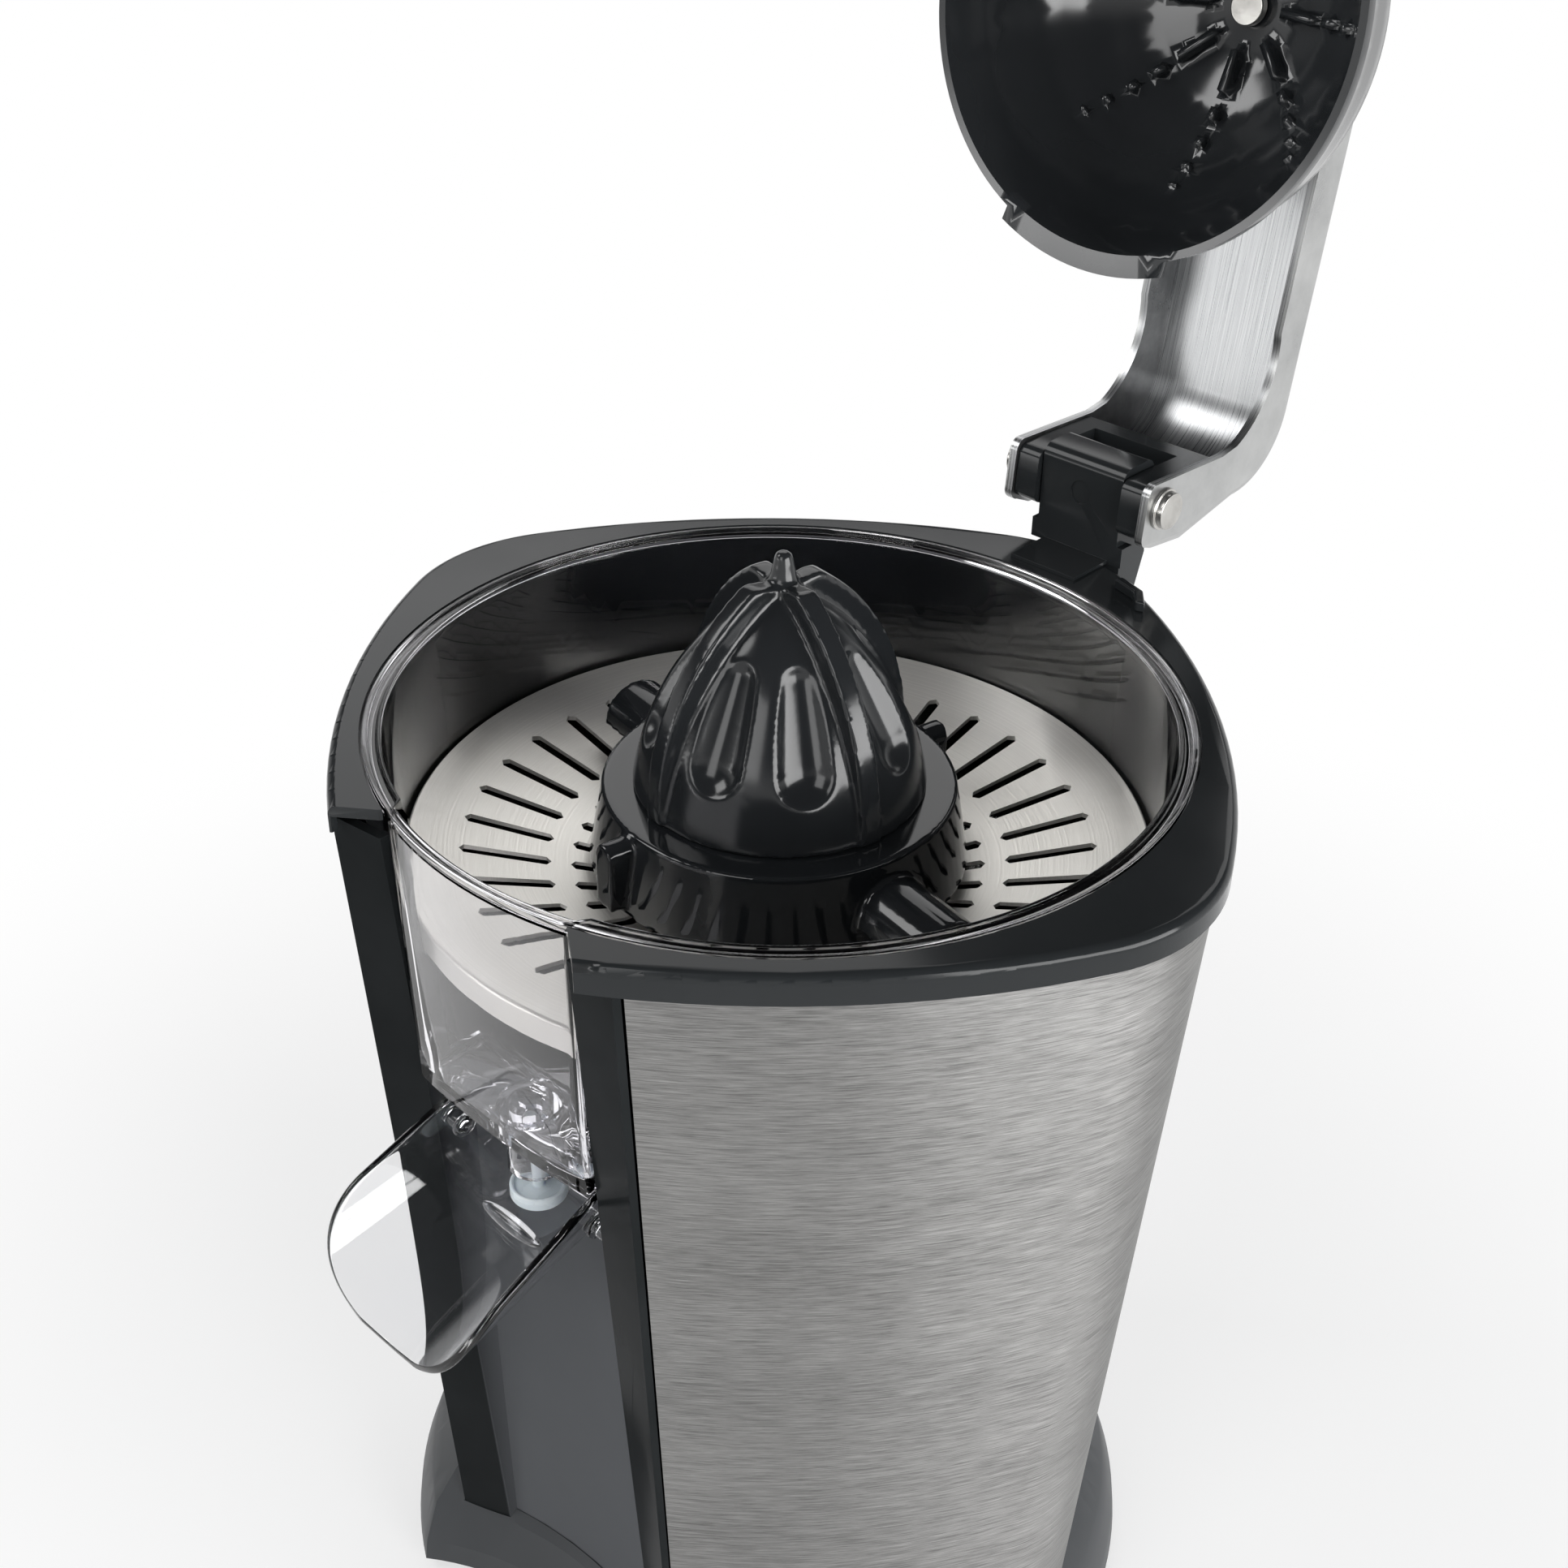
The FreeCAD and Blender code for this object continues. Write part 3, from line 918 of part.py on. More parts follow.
for radius, share in ((lip, 1), (wide, 0.92), (wide, -0.96), (lip, -1)):
    angle = math.radians(s("flap_turn").value + s("flap_half").value * share)
    flap.append((radius * math.sin(angle), radius * math.cos(angle)))
pad(press_dome, outline(sketch(press_dome), flap, {1: (wide, 1), 3: (lip, -1)}), s("flap_t"))
ribs = sketch(press_dome, "XZ")
rows = [(10.0, 23.0, 1.0), (25.5, 31.0, 0.8), (34.0, 38.5, 0.66), (42.0, 45.5, 0.52), (49.0, 52.0, 0.4)]
for a, b, share in rows:
    top = sphere - s("rib_rise") * share
    root = sphere + 1.0
    quad = []
    for radius, angle in ((root, a), (top, a + 1.5), (top, b - 0.5), (root, b)):
        c, n = math.cos(math.radians(angle)), math.sin(math.radians(angle))
        quad.append((radius * n, radius * c - base))
    outline(ribs, quad)
around(press_dome, [pad(press_dome, ribs, s("rib_w"), both=True)], s("rib_count"))
disc(press_dome, s("dome_screw_r"), 0, web + 1, remove=True)

dome_screw = hinged("dome_screw", -reach, -drop)
apex = sphere - base
under = apex - 1.0
disc(dome_screw, s("dome_head_r"), under - s("dome_head_h"), under)
disc(dome_screw, s("dome_screw_r"), under, web + t)

# Clear spout scoop: a flared trough on two side studs, whose rim falls in a round sweep to the tip.
spout_scoop = doc.addObject("PartDesign::Body", "spout_scoop")
spout_scoop.Label = "spout_scoop"
tilt = FreeCAD.Rotation(FreeCAD.Vector(1, 0, 0), s("spout_tilt").value)
spout_scoop.Placement = FreeCAD.Placement(FreeCAD.Vector(), tilt)
spout_scoop.setExpression("Placement.Base.y", (s("axis_y") - s("spout_y")).text)
spout_scoop.setExpression("Placement.Base.z", level("z_spout").text)
up, wall, back, tip = s("scoop_up"), s("scoop_t"), s("scoop_back"), s("scoop_tip")


def trough(place, wide, deep):
    """Section of the trough at a distance in front of the studs: a round floor below the rim's level."""
    radius = (wide * wide + deep * deep) / (deep * 2)
    floor, steps = (0, up - deep), s("scoop_steps").value
    path = [(-wide, up), *bow((-wide, up), floor, radius, 1, steps), floor,
            *bow(floor, (wide, up), radius, 1, steps), (wide, up)]
    return outline(sketch(spout_scoop, "XZ", place), path)


for inset, beyond, remove in ((size(0), 0, False), (wall, 1, True)):
    ends = [trough(-back - beyond, s("scoop_back_w") - inset, s("scoop_back_d") - inset),
            trough(tip + beyond, s("scoop_tip_w") - inset, s("scoop_tip_d") - inset)]
    loft(spout_scoop, ends, remove)
share = (s("weir_y") + back) / (tip + back)
bed = up + wall - s("scoop_back_d") + (s("scoop_back_d") - s("scoop_tip_d")) * share
lens = sketch(spout_scoop, "XY", bed - wall / 2)
outline(lens, [(-s("weir_w"), -s("weir_y")), (s("weir_w"), -s("weir_y"))],
        {0: (s("weir_r"), 1), 1: (s("weir_r"), 1)})
pad(spout_scoop, lens, wall / 2 + s("weir_h"))
run, low = s("rim_run"), up - s("scoop_tip_d")
fall = outline(sketch(spout_scoop, "YZ"),
               [(-run, up), (-tip, low), (-tip - 2, low), (-tip - 2, up + 2), (-run, up + 2)],
               {0: (s("rim_fall_r"), 1)})
cut(spout_scoop, fall, 80, both=True)
for hand in (1, -1):
    for radius, stop in ((s("stud_boss_r"), s("stud_boss_x")), (s("stud_r"), s("stud_x"))):
        drawn = circle(sketch(spout_scoop, "YZ", s("stud_root") * hand), radius)
        pad(spout_scoop, drawn, stop - s("stud_root"), down=hand < 0)

valve_plug = body("valve_plug")
top = level("z_plug") + s("plug_t")
disc(valve_plug, s("plug_r"), level("z_plug"), top, 0, dy)
disc(valve_plug, s("plug_r") - s("plug_rim"), top - s("plug_dish"), top + 1, 0, dy, remove=True)
disc(valve_plug, s("stem_r"), top - s("plug_dish") - 0.5, level("z_stem"), 0, dy)

doc.recompute()

NODES = [made for made in doc.Objects if made.TypeId == "PartDesign::Body" and made.Label != "idler_small"]
fused = doc.addObject("Part::MultiFuse", "idler_pair")
fused.Shapes = [idler_gear, small]
fused.Label = "idler_gears"
NODES.remove(idler_gear)
NODES.append(fused)
doc.recompute()

for item in doc.Objects:
    if "Invalid" in item.State or "Error" in item.State:
        raise RuntimeError("not built: " + item.Label)
os.makedirs("parts", exist_ok=True)
for item in NODES:
    if item.Shape.isNull() or not item.Shape.isValid() or not item.Shape.Solids:
        raise RuntimeError("bad shape: " + item.Label)
    item.Shape.exportStep("parts/%s.step" % item.Label)
whole = FreeCAD.BoundBox()
for item in NODES:
    whole.add(item.Shape.BoundBox)
print("nodes", len(NODES), "box", whole)
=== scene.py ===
import json
from math import acos, cos, radians, sin

import bmesh
import bpy
from mathutils import Matrix, Vector


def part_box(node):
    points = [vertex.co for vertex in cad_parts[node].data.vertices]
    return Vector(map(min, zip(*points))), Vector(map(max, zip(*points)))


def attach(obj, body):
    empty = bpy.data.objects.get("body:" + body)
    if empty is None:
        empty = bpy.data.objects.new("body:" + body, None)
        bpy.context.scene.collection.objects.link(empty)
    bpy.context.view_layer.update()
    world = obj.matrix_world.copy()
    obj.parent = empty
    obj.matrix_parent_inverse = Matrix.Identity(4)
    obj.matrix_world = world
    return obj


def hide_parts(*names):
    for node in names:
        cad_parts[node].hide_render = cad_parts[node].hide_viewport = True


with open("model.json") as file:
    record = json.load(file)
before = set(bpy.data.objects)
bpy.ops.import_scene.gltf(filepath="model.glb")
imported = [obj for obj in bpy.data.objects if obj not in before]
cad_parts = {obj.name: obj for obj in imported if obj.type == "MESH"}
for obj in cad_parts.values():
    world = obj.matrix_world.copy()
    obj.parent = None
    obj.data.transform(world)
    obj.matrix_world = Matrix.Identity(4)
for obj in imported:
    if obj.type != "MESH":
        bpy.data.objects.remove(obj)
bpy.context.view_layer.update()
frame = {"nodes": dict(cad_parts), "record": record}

# Reference places, read from the frame: the reamer's axis and the top of the deck.
BOWL_LOW, BOWL_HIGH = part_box("juice_bowl")
AXIS = Vector((0.0, (BOWL_LOW.y + BOWL_HIGH.y) / 2, 0.0))
DECK = BOWL_HIGH.z

# Camera, as fitted to the photograph: places in metres, lens and sensor in mm.
AZIMUTH = radians(42.83)
ELEVATION = radians(32.71)
ROLL = radians(1.10)
DISTANCE = 0.4225
AIM_DROP = 0.01915
AIM_SIDE = 0.00091
LENS = 46.58
SENSOR = 36.0
CLIP = 0.01

MM = 0.001

# Meshes from the frame: the gap in metres at which their triangles are joined, and angles in degrees. Faces
# that meet at less than FLAT become one, edges over CREASE are rounded, and edges of clear pieces over
# CLEAR_CREASE are shaded sharp. EASE is the strength of one smoothing pass.
JOIN_GAP = 2e-6
FLAT = 0.6
CREASE = 32.0
CLEAR_CREASE = 40.0
EASE = 0.5

# Rim and window of the bowl, in mm: radii, half widths, and depths below the deck.
RIM_R = 84.0
RIM_DROP = 2.0
RIM_WALL_R = 82.0
RIM_IN = 80.2
RIM_FOOT_IN = 80.0
RIM_CUT = 2.6
RIM_ROUND = 0.35
RIM_STEPS = 240
GROOVE_OUT = 82.8
GROOVE_IN = 81.0
GROOVE_D = 0.9
WINDOW_HALF = 25.2
WINDOW_INSIDE = 3.0
WINDOW_OUTSIDE = 1.0
WINDOW_RIM = 2.0
WINDOW_EDGE = 15.0
WINDOW_ROUND = 0.7

# Spout, in mm from its hinge and in degrees: the trough's run, rim, sections and wall, then its collars,
# studs and weir. The crease of the studs is in radians.
SPOUT_HINGE_Y = 72.5
SPOUT_HINGE_Z = -79.6
SPOUT_TILT = 19.0
SPOUT_BACK = 6.0
SPOUT_RUN = 22.25
SPOUT_FALL = 20.4
SPOUT_FALL_TURN = 74.0
SPOUT_TIP = 42.2
SPOUT_RISE = 9.3
SPOUT_BACK_W = 20.4
SPOUT_TIP_W = 22.9
SPOUT_BACK_D = 21.0
SPOUT_TIP_D = 15.9
SPOUT_WALL = 1.8
SPOUT_WALL_SIDE = 1.0
SPOUT_STEPS_ACROSS = 44
SPOUT_STEPS_ALONG = 56
COLLAR_R = 2.9
COLLAR_IN = 20.2
COLLAR_OUT = 21.4
STUD_R = 2.0
STUD_IN = 20.5
STUD_OUT = 26.4
STUD_STEPS = 40
STUD_ROUND = 0.35
STUD_CREASE = 1.0
WEIR_HALF = (9.0, 1.75, 2.4)
WEIR_AHEAD = 8.4
WEIR_RISE = -8.4
WEIR_STEPS = 48

# Noise in the finishes: the part of its range that is used, scales per metre, and bump distances in metres.
NOISE_LOW = 0.3
NOISE_HIGH = 0.7
FLOW = 26.0
GRAIN = 2600.0
GRAIN_DEPTH = 0.00004
SCRATCH_DEPTH = 0.00005
RINGS = 2400.0
RING_DEPTH = 0.00003
STAINS = 24.0
WAVES = 42.0
WAVE_DEPTH = 0.0004
WEAR = 120.0
CLOUD = 160.0

# Distances from the middle plane, in metres, between which a finish changes: recess to pillar of the panel,
# and web to flange of the arm, where the painted shade on the arm's web gives way to the painted highlight
# on its flanges.
RECESS_HALF = 0.0252
PILLAR_HALF = 0.0262
SHADED_WEB_HALF = 0.0184
LIT_FLANGE_HALF = 0.0190

# Floor: its half size in metres, its tone, the radii between which its own shading fades to white, and the
# share of white at the nearer one.
FLOOR_HALF = 6.0
FLOOR_TONE = (0.9, 0.9, 0.9, 1)
SHADOW_NEAR = 0.14
SHADOW_FAR = 0.42
SHADOW_SHARE = 0.6

# Studio: how far up a direction points where the white ends, and where it is all dark.
HORIZON = 0.12
HORIZON_TONE = (1.0, 1.0, 1.0, 1)
OVERHEAD = 0.34
OVERHEAD_TONE = (0.08, 0.08, 0.085, 1)


class Nodes:
    """Short hand for building one material's node tree."""

    def __init__(self, name):
        self.material = bpy.data.materials.new(name)
        self.material.use_nodes = True
        self.tree = self.material.node_tree
        self.shader = self.tree.nodes["Principled BSDF"]

    def add(self, kind, **inputs):
        node = self.tree.nodes.new("ShaderNode" + kind)
        for key, value in inputs.items():
            node.inputs[key.replace("_", " ")].default_value = value
        return node

    def join(self, output, target):
        self.tree.links.new(output, target)

    def set(self, **values):
        for key, value in values.items():
            self.shader.inputs[key.replace("_", " ")].default_value = value

    def place(self, scale=(1, 1, 1), centre=(0.0, 0.0, 0.0)):
        """Object coordinates, moved to a centre and stretched."""
        coordinates = self.add("TexCoord")
        mapping = self.add("Mapping")
        mapping.inputs["Scale"].default_value = scale
        mapping.inputs["Location"].default_value = [-c * k for c, k in zip(centre, scale)]
        self.join(coordinates.outputs["Object"], mapping.inputs["Vector"])
        return mapping.outputs["Vector"]

    def noise(self, vector, scale=1.0, detail=3.0, roughness=0.5):
        noise = self.add("TexNoise", Scale=scale, Detail=detail, Roughness=roughness)
        self.join(vector, noise.inputs["Vector"])
        return noise.outputs["Fac"]

    def ranged(self, value, start, end, low, high):
        """Maps the values from start to end on to those from low to high."""
        ranged = self.add("MapRange", From_Min=start, From_Max=end, To_Min=low, To_Max=high)
        self.join(value, ranged.inputs["Value"])
        return ranged.outputs["Result"]

    def spread(self, factor, low, high):
        """Maps the used part of a noise on to a range of values."""
        return self.ranged(factor, NOISE_LOW, NOISE_HIGH, low, high)

    def sideways(self, inner, outer, low, high):
        """A value that goes from low to high between two distances from the middle plane."""
        split = self.add("SeparateXYZ")
        self.join(self.place(), split.inputs["Vector"])
        across = self.add("Math")
        across.operation = "ABSOLUTE"
        self.join(split.outputs["X"], across.inputs[0])
        return self.ranged(across.outputs["Value"], inner, outer, low, high)

    def blend(self, share, first, second):
        """The first value, with a share of the second mixed in."""
        mixed = self.add("Mix", Factor=share)
        self.join(first, mixed.inputs["A"])
        self.join(second, mixed.inputs["B"])
        return mixed.outputs["Result"]

    def tint(self, factor, dark, light):
        ramp = self.add("ValToRGB")
        ramp.color_ramp.elements[0].position = NOISE_LOW
        ramp.color_ramp.elements[1].position = NOISE_HIGH
        ramp.color_ramp.elements[0].color = (*dark, 1.0)
        ramp.color_ramp.elements[1].color = (*light, 1.0)
        self.join(factor, ramp.inputs["Fac"])
        return ramp.outputs["Color"]

    def bump(self, height, strength, distance):
        bump = self.add("Bump", Strength=strength, Distance=distance)
        self.join(height, bump.inputs["Height"])
        self.join(bump.outputs["Normal"], self.shader.inputs["Normal"])

    def colour(self, output):
        self.join(output, self.shader.inputs["Base Color"])

    def rough(self, output):
        self.join(output, self.shader.inputs["Roughness"])


def moulded_plastic(name, dark, light, low, high, grain, ior=1.45):
    """Moulded plastic: faint flow marks in the colour and gloss, fine grain in the surface."""
    made = Nodes(name)
    flow = made.noise(made.place(), scale=FLOW, detail=4.0)
    made.colour(made.tint(flow, dark, light))
    made.rough(made.spread(flow, low, high))
    made.bump(made.noise(made.place(), scale=GRAIN, detail=2.0), grain, GRAIN_DEPTH)
    made.set(IOR=ior)
    return made.material


def panel_plastic(name, pillar, recess, gloss, satin, grain, ior):
    """Front panel: glossy pillars, and a satin recess between them."""
    made = Nodes(name)
    zone = made.sideways(RECESS_HALF, PILLAR_HALF, NOISE_HIGH, NOISE_LOW)
    mixed = made.blend(0.08, zone, made.noise(made.place(), scale=FLOW, detail=4.0))
    made.colour(made.tint(mixed, pillar, recess))
    made.rough(made.spread(mixed, gloss, satin))
    made.bump(made.noise(made.place(), scale=GRAIN, detail=2.0), grain, GRAIN_DEPTH)
    made.set(IOR=ior)
    return made.material


def brushed_sheet(name, scratch, cloud, dark, light, low, high, depth, stretch):
    """Brushed metal: long scratches along the axes with a small scale, over broad cloudy patches."""
    made = Nodes(name)
    lines = made.noise(made.place(scratch), detail=6.0, roughness=0.7)
    patches = made.noise(made.place(cloud), detail=4.0, roughness=0.6)
    made.colour(made.tint(made.blend(0.15, lines, patches), dark, light))
    made.rough(made.spread(lines, low, high))
    made.bump(lines, depth, SCRATCH_DEPTH)
    made.set(Metallic=1.0, Anisotropic=stretch, Anisotropic_Rotation=0.25)
    return made.material


def folded_sheet(name, scratch, web, flange, low, high, depth):
    """Brushed aluminium folded to a channel: a painted shade on its web and a painted highlight on the
    outsides of its flanges.
    """
    made = Nodes(name)
    lines = made.noise(made.place(scratch), detail=6.0, roughness=0.7)
    mixed = made.add("Mix")
    mixed.data_type = "RGBA"
    first, second = [socket for socket in mixed.inputs if socket.type == "RGBA"]
    result = next(socket for socket in mixed.outputs if socket.type == "RGBA")
    # Mask from the painted shade on the web to the painted highlight on the flanges.
    made.join(made.sideways(SHADED_WEB_HALF, LIT_FLANGE_HALF, 0.0, 1.0), mixed.inputs["Factor"])
    made.join(made.tint(lines, *web), first)
    made.join(made.tint(lines, *flange), second)
    made.colour(result)
    made.rough(made.spread(lines, low, high))
    made.bump(lines, depth, SCRATCH_DEPTH)
    made.set(Metallic=1.0)
    return made.material


def turned_sheet(name, dark, light, low, high, depth):
    """Steel with fine rings round the reamer's axis and a few warm stains."""
    made = Nodes(name)
    length = made.add("VectorMath")
    length.operation = "LENGTH"
    made.join(made.place((1, 1, 0), AXIS), length.inputs[0])
    noise = made.add("TexNoise", Scale=RINGS, Detail=4.0)
    noise.noise_dimensions = "1D"
    made.join(length.outputs["Value"], noise.inputs["W"])
    rings = noise.outputs["Fac"]
    stains = made.noise(made.place(), scale=STAINS, detail=5.0)
    made.colour(made.tint(made.blend(0.6, rings, stains), dark, light))
    made.rough(made.spread(rings, low, high))
    made.bump(rings, depth, RING_DEPTH)
    made.set(Metallic=0.7, Anisotropic=0.6, Anisotropic_Rotation=0.25)
    return made.material


def clear_plastic(name, dark, light, low, high, depth):
    """Clear moulded plastic with slow waves in its gloss."""
    made = Nodes(name)
    waves = made.noise(made.place(), scale=WAVES, detail=2.0)
    made.colour(made.tint(waves, dark, light))
    made.rough(made.spread(waves, low, high))
    made.bump(waves, depth, WAVE_DEPTH)
    made.set(Transmission_Weight=1.0, IOR=1.47)
    return made.material


def plain_metal(name, dark, light, low, high):
    """Metal with faint wear in its colour and gloss."""
    made = Nodes(name)
    wear = made.noise(made.place(), scale=WEAR, detail=5.0)
    made.colour(made.tint(wear, dark, light))
    made.rough(made.spread(wear, low, high))
    made.set(Metallic=1.0)
    return made.material


def milky_plastic(name, dark, light, low, high):
    """Soft milky plastic that lets some light in."""
    made = Nodes(name)
    cloud = made.noise(made.place(), scale=CLOUD, detail=3.0)
    made.colour(made.tint(cloud, dark, light))
    made.rough(made.spread(cloud, low, high))
    made.set(Subsurface_Weight=0.3, Subsurface_Radius=(0.004, 0.004, 0.005), Subsurface_Scale=1.0)
    return made.material


# Each finish has a dark and a light tone, and low and high roughness.
GLOSS_BLACK = moulded_plastic("gloss_black", dark=(0.009, 0.0102, 0.0115), light=(0.013, 0.0145, 0.016),
                              low=0.04, high=0.09, grain=0.0)
DOME_BLACK = moulded_plastic("dome_black", dark=(0.014, 0.0155, 0.017), light=(0.018, 0.020, 0.022),
                             low=0.10, high=0.16, grain=0.0, ior=1.55)
CONE_BLACK = moulded_plastic("cone_black", dark=(0.011, 0.0122, 0.0135), light=(0.015, 0.0165, 0.018),
                             low=0.13, high=0.19, grain=0.0)
DECK_BLACK = moulded_plastic("deck_black", dark=(0.015, 0.0168, 0.018), light=(0.019, 0.0212, 0.0225),
                             low=0.12, high=0.20, grain=0.02, ior=1.32)
PANEL_BLACK = panel_plastic("panel_black", pillar=(0.010, 0.0115, 0.012), recess=(0.10, 0.104, 0.111),
                            gloss=0.14, satin=0.5, grain=0.04, ior=1.05)
SATIN_BLACK = moulded_plastic("satin_black", dark=(0.028, 0.031, 0.034), light=(0.038, 0.041, 0.045),
                              low=0.38, high=0.50, grain=0.10)
JACKET_STEEL = brushed_sheet("jacket_steel", scratch=(120, 120, 4200), cloud=(26, 26, 60),
                             dark=(0.105, 0.104, 0.102), light=(0.43, 0.427, 0.418),
                             low=0.40, high=0.50, depth=0.2, stretch=0.75)
# The web tones carry a painted shade, and the flange tones a painted highlight.
ARM_ALUMINIUM = folded_sheet("arm_aluminium", scratch=(3200, 26, 26),
                             web=((0.16, 0.165, 0.17), (0.54, 0.545, 0.55)),
                             flange=((0.36, 0.365, 0.365), (0.56, 0.565, 0.56)),
                             low=0.24, high=0.36, depth=0.08)
SIEVE_STEEL = turned_sheet("sieve_steel", dark=(0.76, 0.74, 0.69), light=(0.95, 0.93, 0.88),
                           low=0.36, high=0.48, depth=0.04)
BOWL_CLEAR = clear_plastic("bowl_clear", dark=(0.95, 0.945, 0.975), light=(0.985, 0.98, 0.995),
                           low=0.012, high=0.032, depth=0.012)
SPOUT_CLEAR = clear_plastic("spout_clear", dark=(0.95, 0.955, 0.97), light=(0.985, 0.985, 0.99),
                            low=0.012, high=0.032, depth=0.012)
PIN_STEEL = plain_metal("pin_steel", dark=(0.42, 0.41, 0.39), light=(0.66, 0.65, 0.62), low=0.18, high=0.30)
PLATED_STEEL = plain_metal("plated_steel", dark=(0.42, 0.43, 0.45), light=(0.60, 0.61, 0.63),
                           low=0.28, high=0.42)
CORE_IRON = plain_metal("core_iron", dark=(0.12, 0.11, 0.10), light=(0.24, 0.22, 0.20), low=0.45, high=0.6)
BUSH_BRONZE = plain_metal("bush_bronze", dark=(0.45, 0.30, 0.14), light=(0.62, 0.44, 0.22),
                          low=0.3, high=0.45)
GEAR_PLASTIC = moulded_plastic("gear_plastic", dark=(0.72, 0.71, 0.66), light=(0.82, 0.81, 0.77),
                               low=0.35, high=0.5, grain=0.08)
FOOT_RUBBER = moulded_plastic("foot_rubber", dark=(0.012, 0.012, 0.012), light=(0.022, 0.022, 0.022),
                              low=0.6, high=0.8, grain=0.2)
VALVE_MILKY = milky_plastic("valve_milky", dark=(0.70, 0.79, 0.85), light=(0.82, 0.90, 0.95),
                            low=0.22, high=0.34)

NODES_OF = (
    (DECK_BLACK, ("top_deck", "hinge_post", "bowl_catches", "arm_liner")),
    (SATIN_BLACK, ("base_shell", "bottom_cover", "arm_grip", "motor_cap", "micro_switch", "switch_button")),
    (PANEL_BLACK, ("front_panel",)),
    (CONE_BLACK, ("reamer_cone",)),
    (GLOSS_BLACK, ("sweeper_ring",)),
    (DOME_BLACK, ("press_dome",)),
    (JACKET_STEEL, ("steel_jacket",)),
    (SIEVE_STEEL, ("sieve",)),
    (ARM_ALUMINIUM, ("lever_arm",)),
    (BOWL_CLEAR, ("juice_bowl",)),
    (SPOUT_CLEAR, ("spout_scoop",)),
    (VALVE_MILKY, ("valve_plug",)),
    (PIN_STEEL, ("hinge_pin", "dome_screw", "drive_spindle", "spindle_clips", "idler_axle", "motor_shaft",
                 "motor_pinion")),
    (PLATED_STEEL, ("base_screws", "gear_plate", "gear_posts", "motor_can", "switch_bracket")),
    (CORE_IRON, ("motor_core", "motor_field")),
    (BUSH_BRONZE, ("spindle_bush",)),
    (GEAR_PLASTIC, ("drive_flange", "output_gear", "idler_gears", "cooling_fan", "press_collar")),
    (FOOT_RUBBER, ("rubber_feet", "spindle_seal")),
)
FINISH = {node: finish for finish, nodes in NODES_OF for node in nodes}
for node, finish in FINISH.items():
    data = frame["nodes"][node].data
    data.materials.clear()
    data.materials.append(finish)

BODY_OF = {node: body for body, nodes in frame["record"]["behaviour"]["bodies"].items() for node in nodes}


def merged_copy(node, flat=0.0):
    """A copy of a node's mesh with its loose triangles joined, and its flats made whole up to an angle."""
    work = bmesh.new()
    work.from_mesh(frame["nodes"][node].data)
    bmesh.ops.remove_doubles(work, verts=work.verts, dist=JOIN_GAP)
    if flat:
        bmesh.ops.dissolve_limit(work, angle_limit=radians(flat), verts=work.verts, edges=work.edges)
    return work


def new_object(name, work):
    """An object with the finished mesh, in the scene."""
    mesh = bpy.data.meshes.new(name)
    work.to_mesh(mesh)
    work.free()
    made = bpy.data.objects.new(name, mesh)
    bpy.context.scene.collection.objects.link(made)
    return made


def stand_in(node, work):
    """The piece that stands for a node, on the same body and with the same finish."""
    piece = new_object(node + "_finished", work)
    piece.data.shade_smooth()
    piece.data.materials.append(FINISH[node])
    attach(piece, BODY_OF[node])
    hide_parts(node)
    return piece


def smooth_shaded(node, crease, flat):
    """A node with smooth shading up to a crease angle, its edges left as they are."""
    piece = stand_in(node, merged_copy(node, flat))
    piece.data.set_sharp_from_angle(angle=radians(crease))
    even = piece.modifiers.new("even", "WEIGHTED_NORMAL")
    even.keep_sharp = True


def edge_rounded(node, edge):
    """A node with its sharp edges rounded off by a small radius."""
    piece = stand_in(node, merged_copy(node, FLAT))
    piece.data.set_sharp_from_angle(angle=radians(CREASE))
    rounding = piece.modifiers.new("edges", "BEVEL")
    rounding.width = edge * MM
    rounding.segments = 2
    rounding.limit_method = "ANGLE"
    rounding.angle_limit = radians(CREASE)
    rounding.use_clamp_overlap = True
    rounding.harden_normals = True


def mould_softened(node, grain, passes):
    """A node remade as an even skin and eased, so that its blends and edges run soft as from a mould."""
    piece = stand_in(node, merged_copy(node))
    skin = piece.modifiers.new("skin", "REMESH")
    skin.mode = "VOXEL"
    skin.voxel_size = grain * MM
    skin.use_smooth_shade = True
    ease = piece.modifiers.new("ease", "SMOOTH")
    ease.factor = EASE
    ease.iterations = passes


# Nodes with crease and flat angles in degrees, then with edge radii in mm, then with skin grains in mm and
# smoothing passes.
for node, crease, flat in (("top_deck", 32.0, FLAT), ("steel_jacket", 30.0, 0.0), ("sieve", 30.0, 0.0),
                           ("press_dome", 35.0, 0.0)):
    smooth_shaded(node, crease, flat)
for node, edge in (("base_shell", 0.5), ("lever_arm", 0.35), ("hinge_pin", 0.3), ("dome_screw", 0.4),
                   ("valve_plug", 0.5), ("hinge_post", 0.6), ("bowl_catches", 0.5), ("arm_liner", 0.5),
                   ("arm_grip", 0.8), ("rubber_feet", 0.6), ("front_panel", 0.6)):
    edge_rounded(node, edge)
for node, grain, passes in (("reamer_cone", 0.5, 16), ("sweeper_ring", 0.55, 4)):
    mould_softened(node, grain, passes)


def window_corner(edge):
    """True for the long upright edges at the two sides of the bowl's window."""
    low, high = sorted(edge.verts, key=lambda vert: vert.co.z)
    upright = high.co.z - low.co.z > WINDOW_EDGE * MM
    inner, outer = WINDOW_HALF - WINDOW_INSIDE, WINDOW_HALF + WINDOW_OUTSIDE
    beside = all(inner < abs(vert.co.x) / MM < outer for vert in edge.verts)
    return (upright and beside and len(edge.link_faces) == 2
            and edge.calc_face_angle() > radians(CLEAR_CREASE))


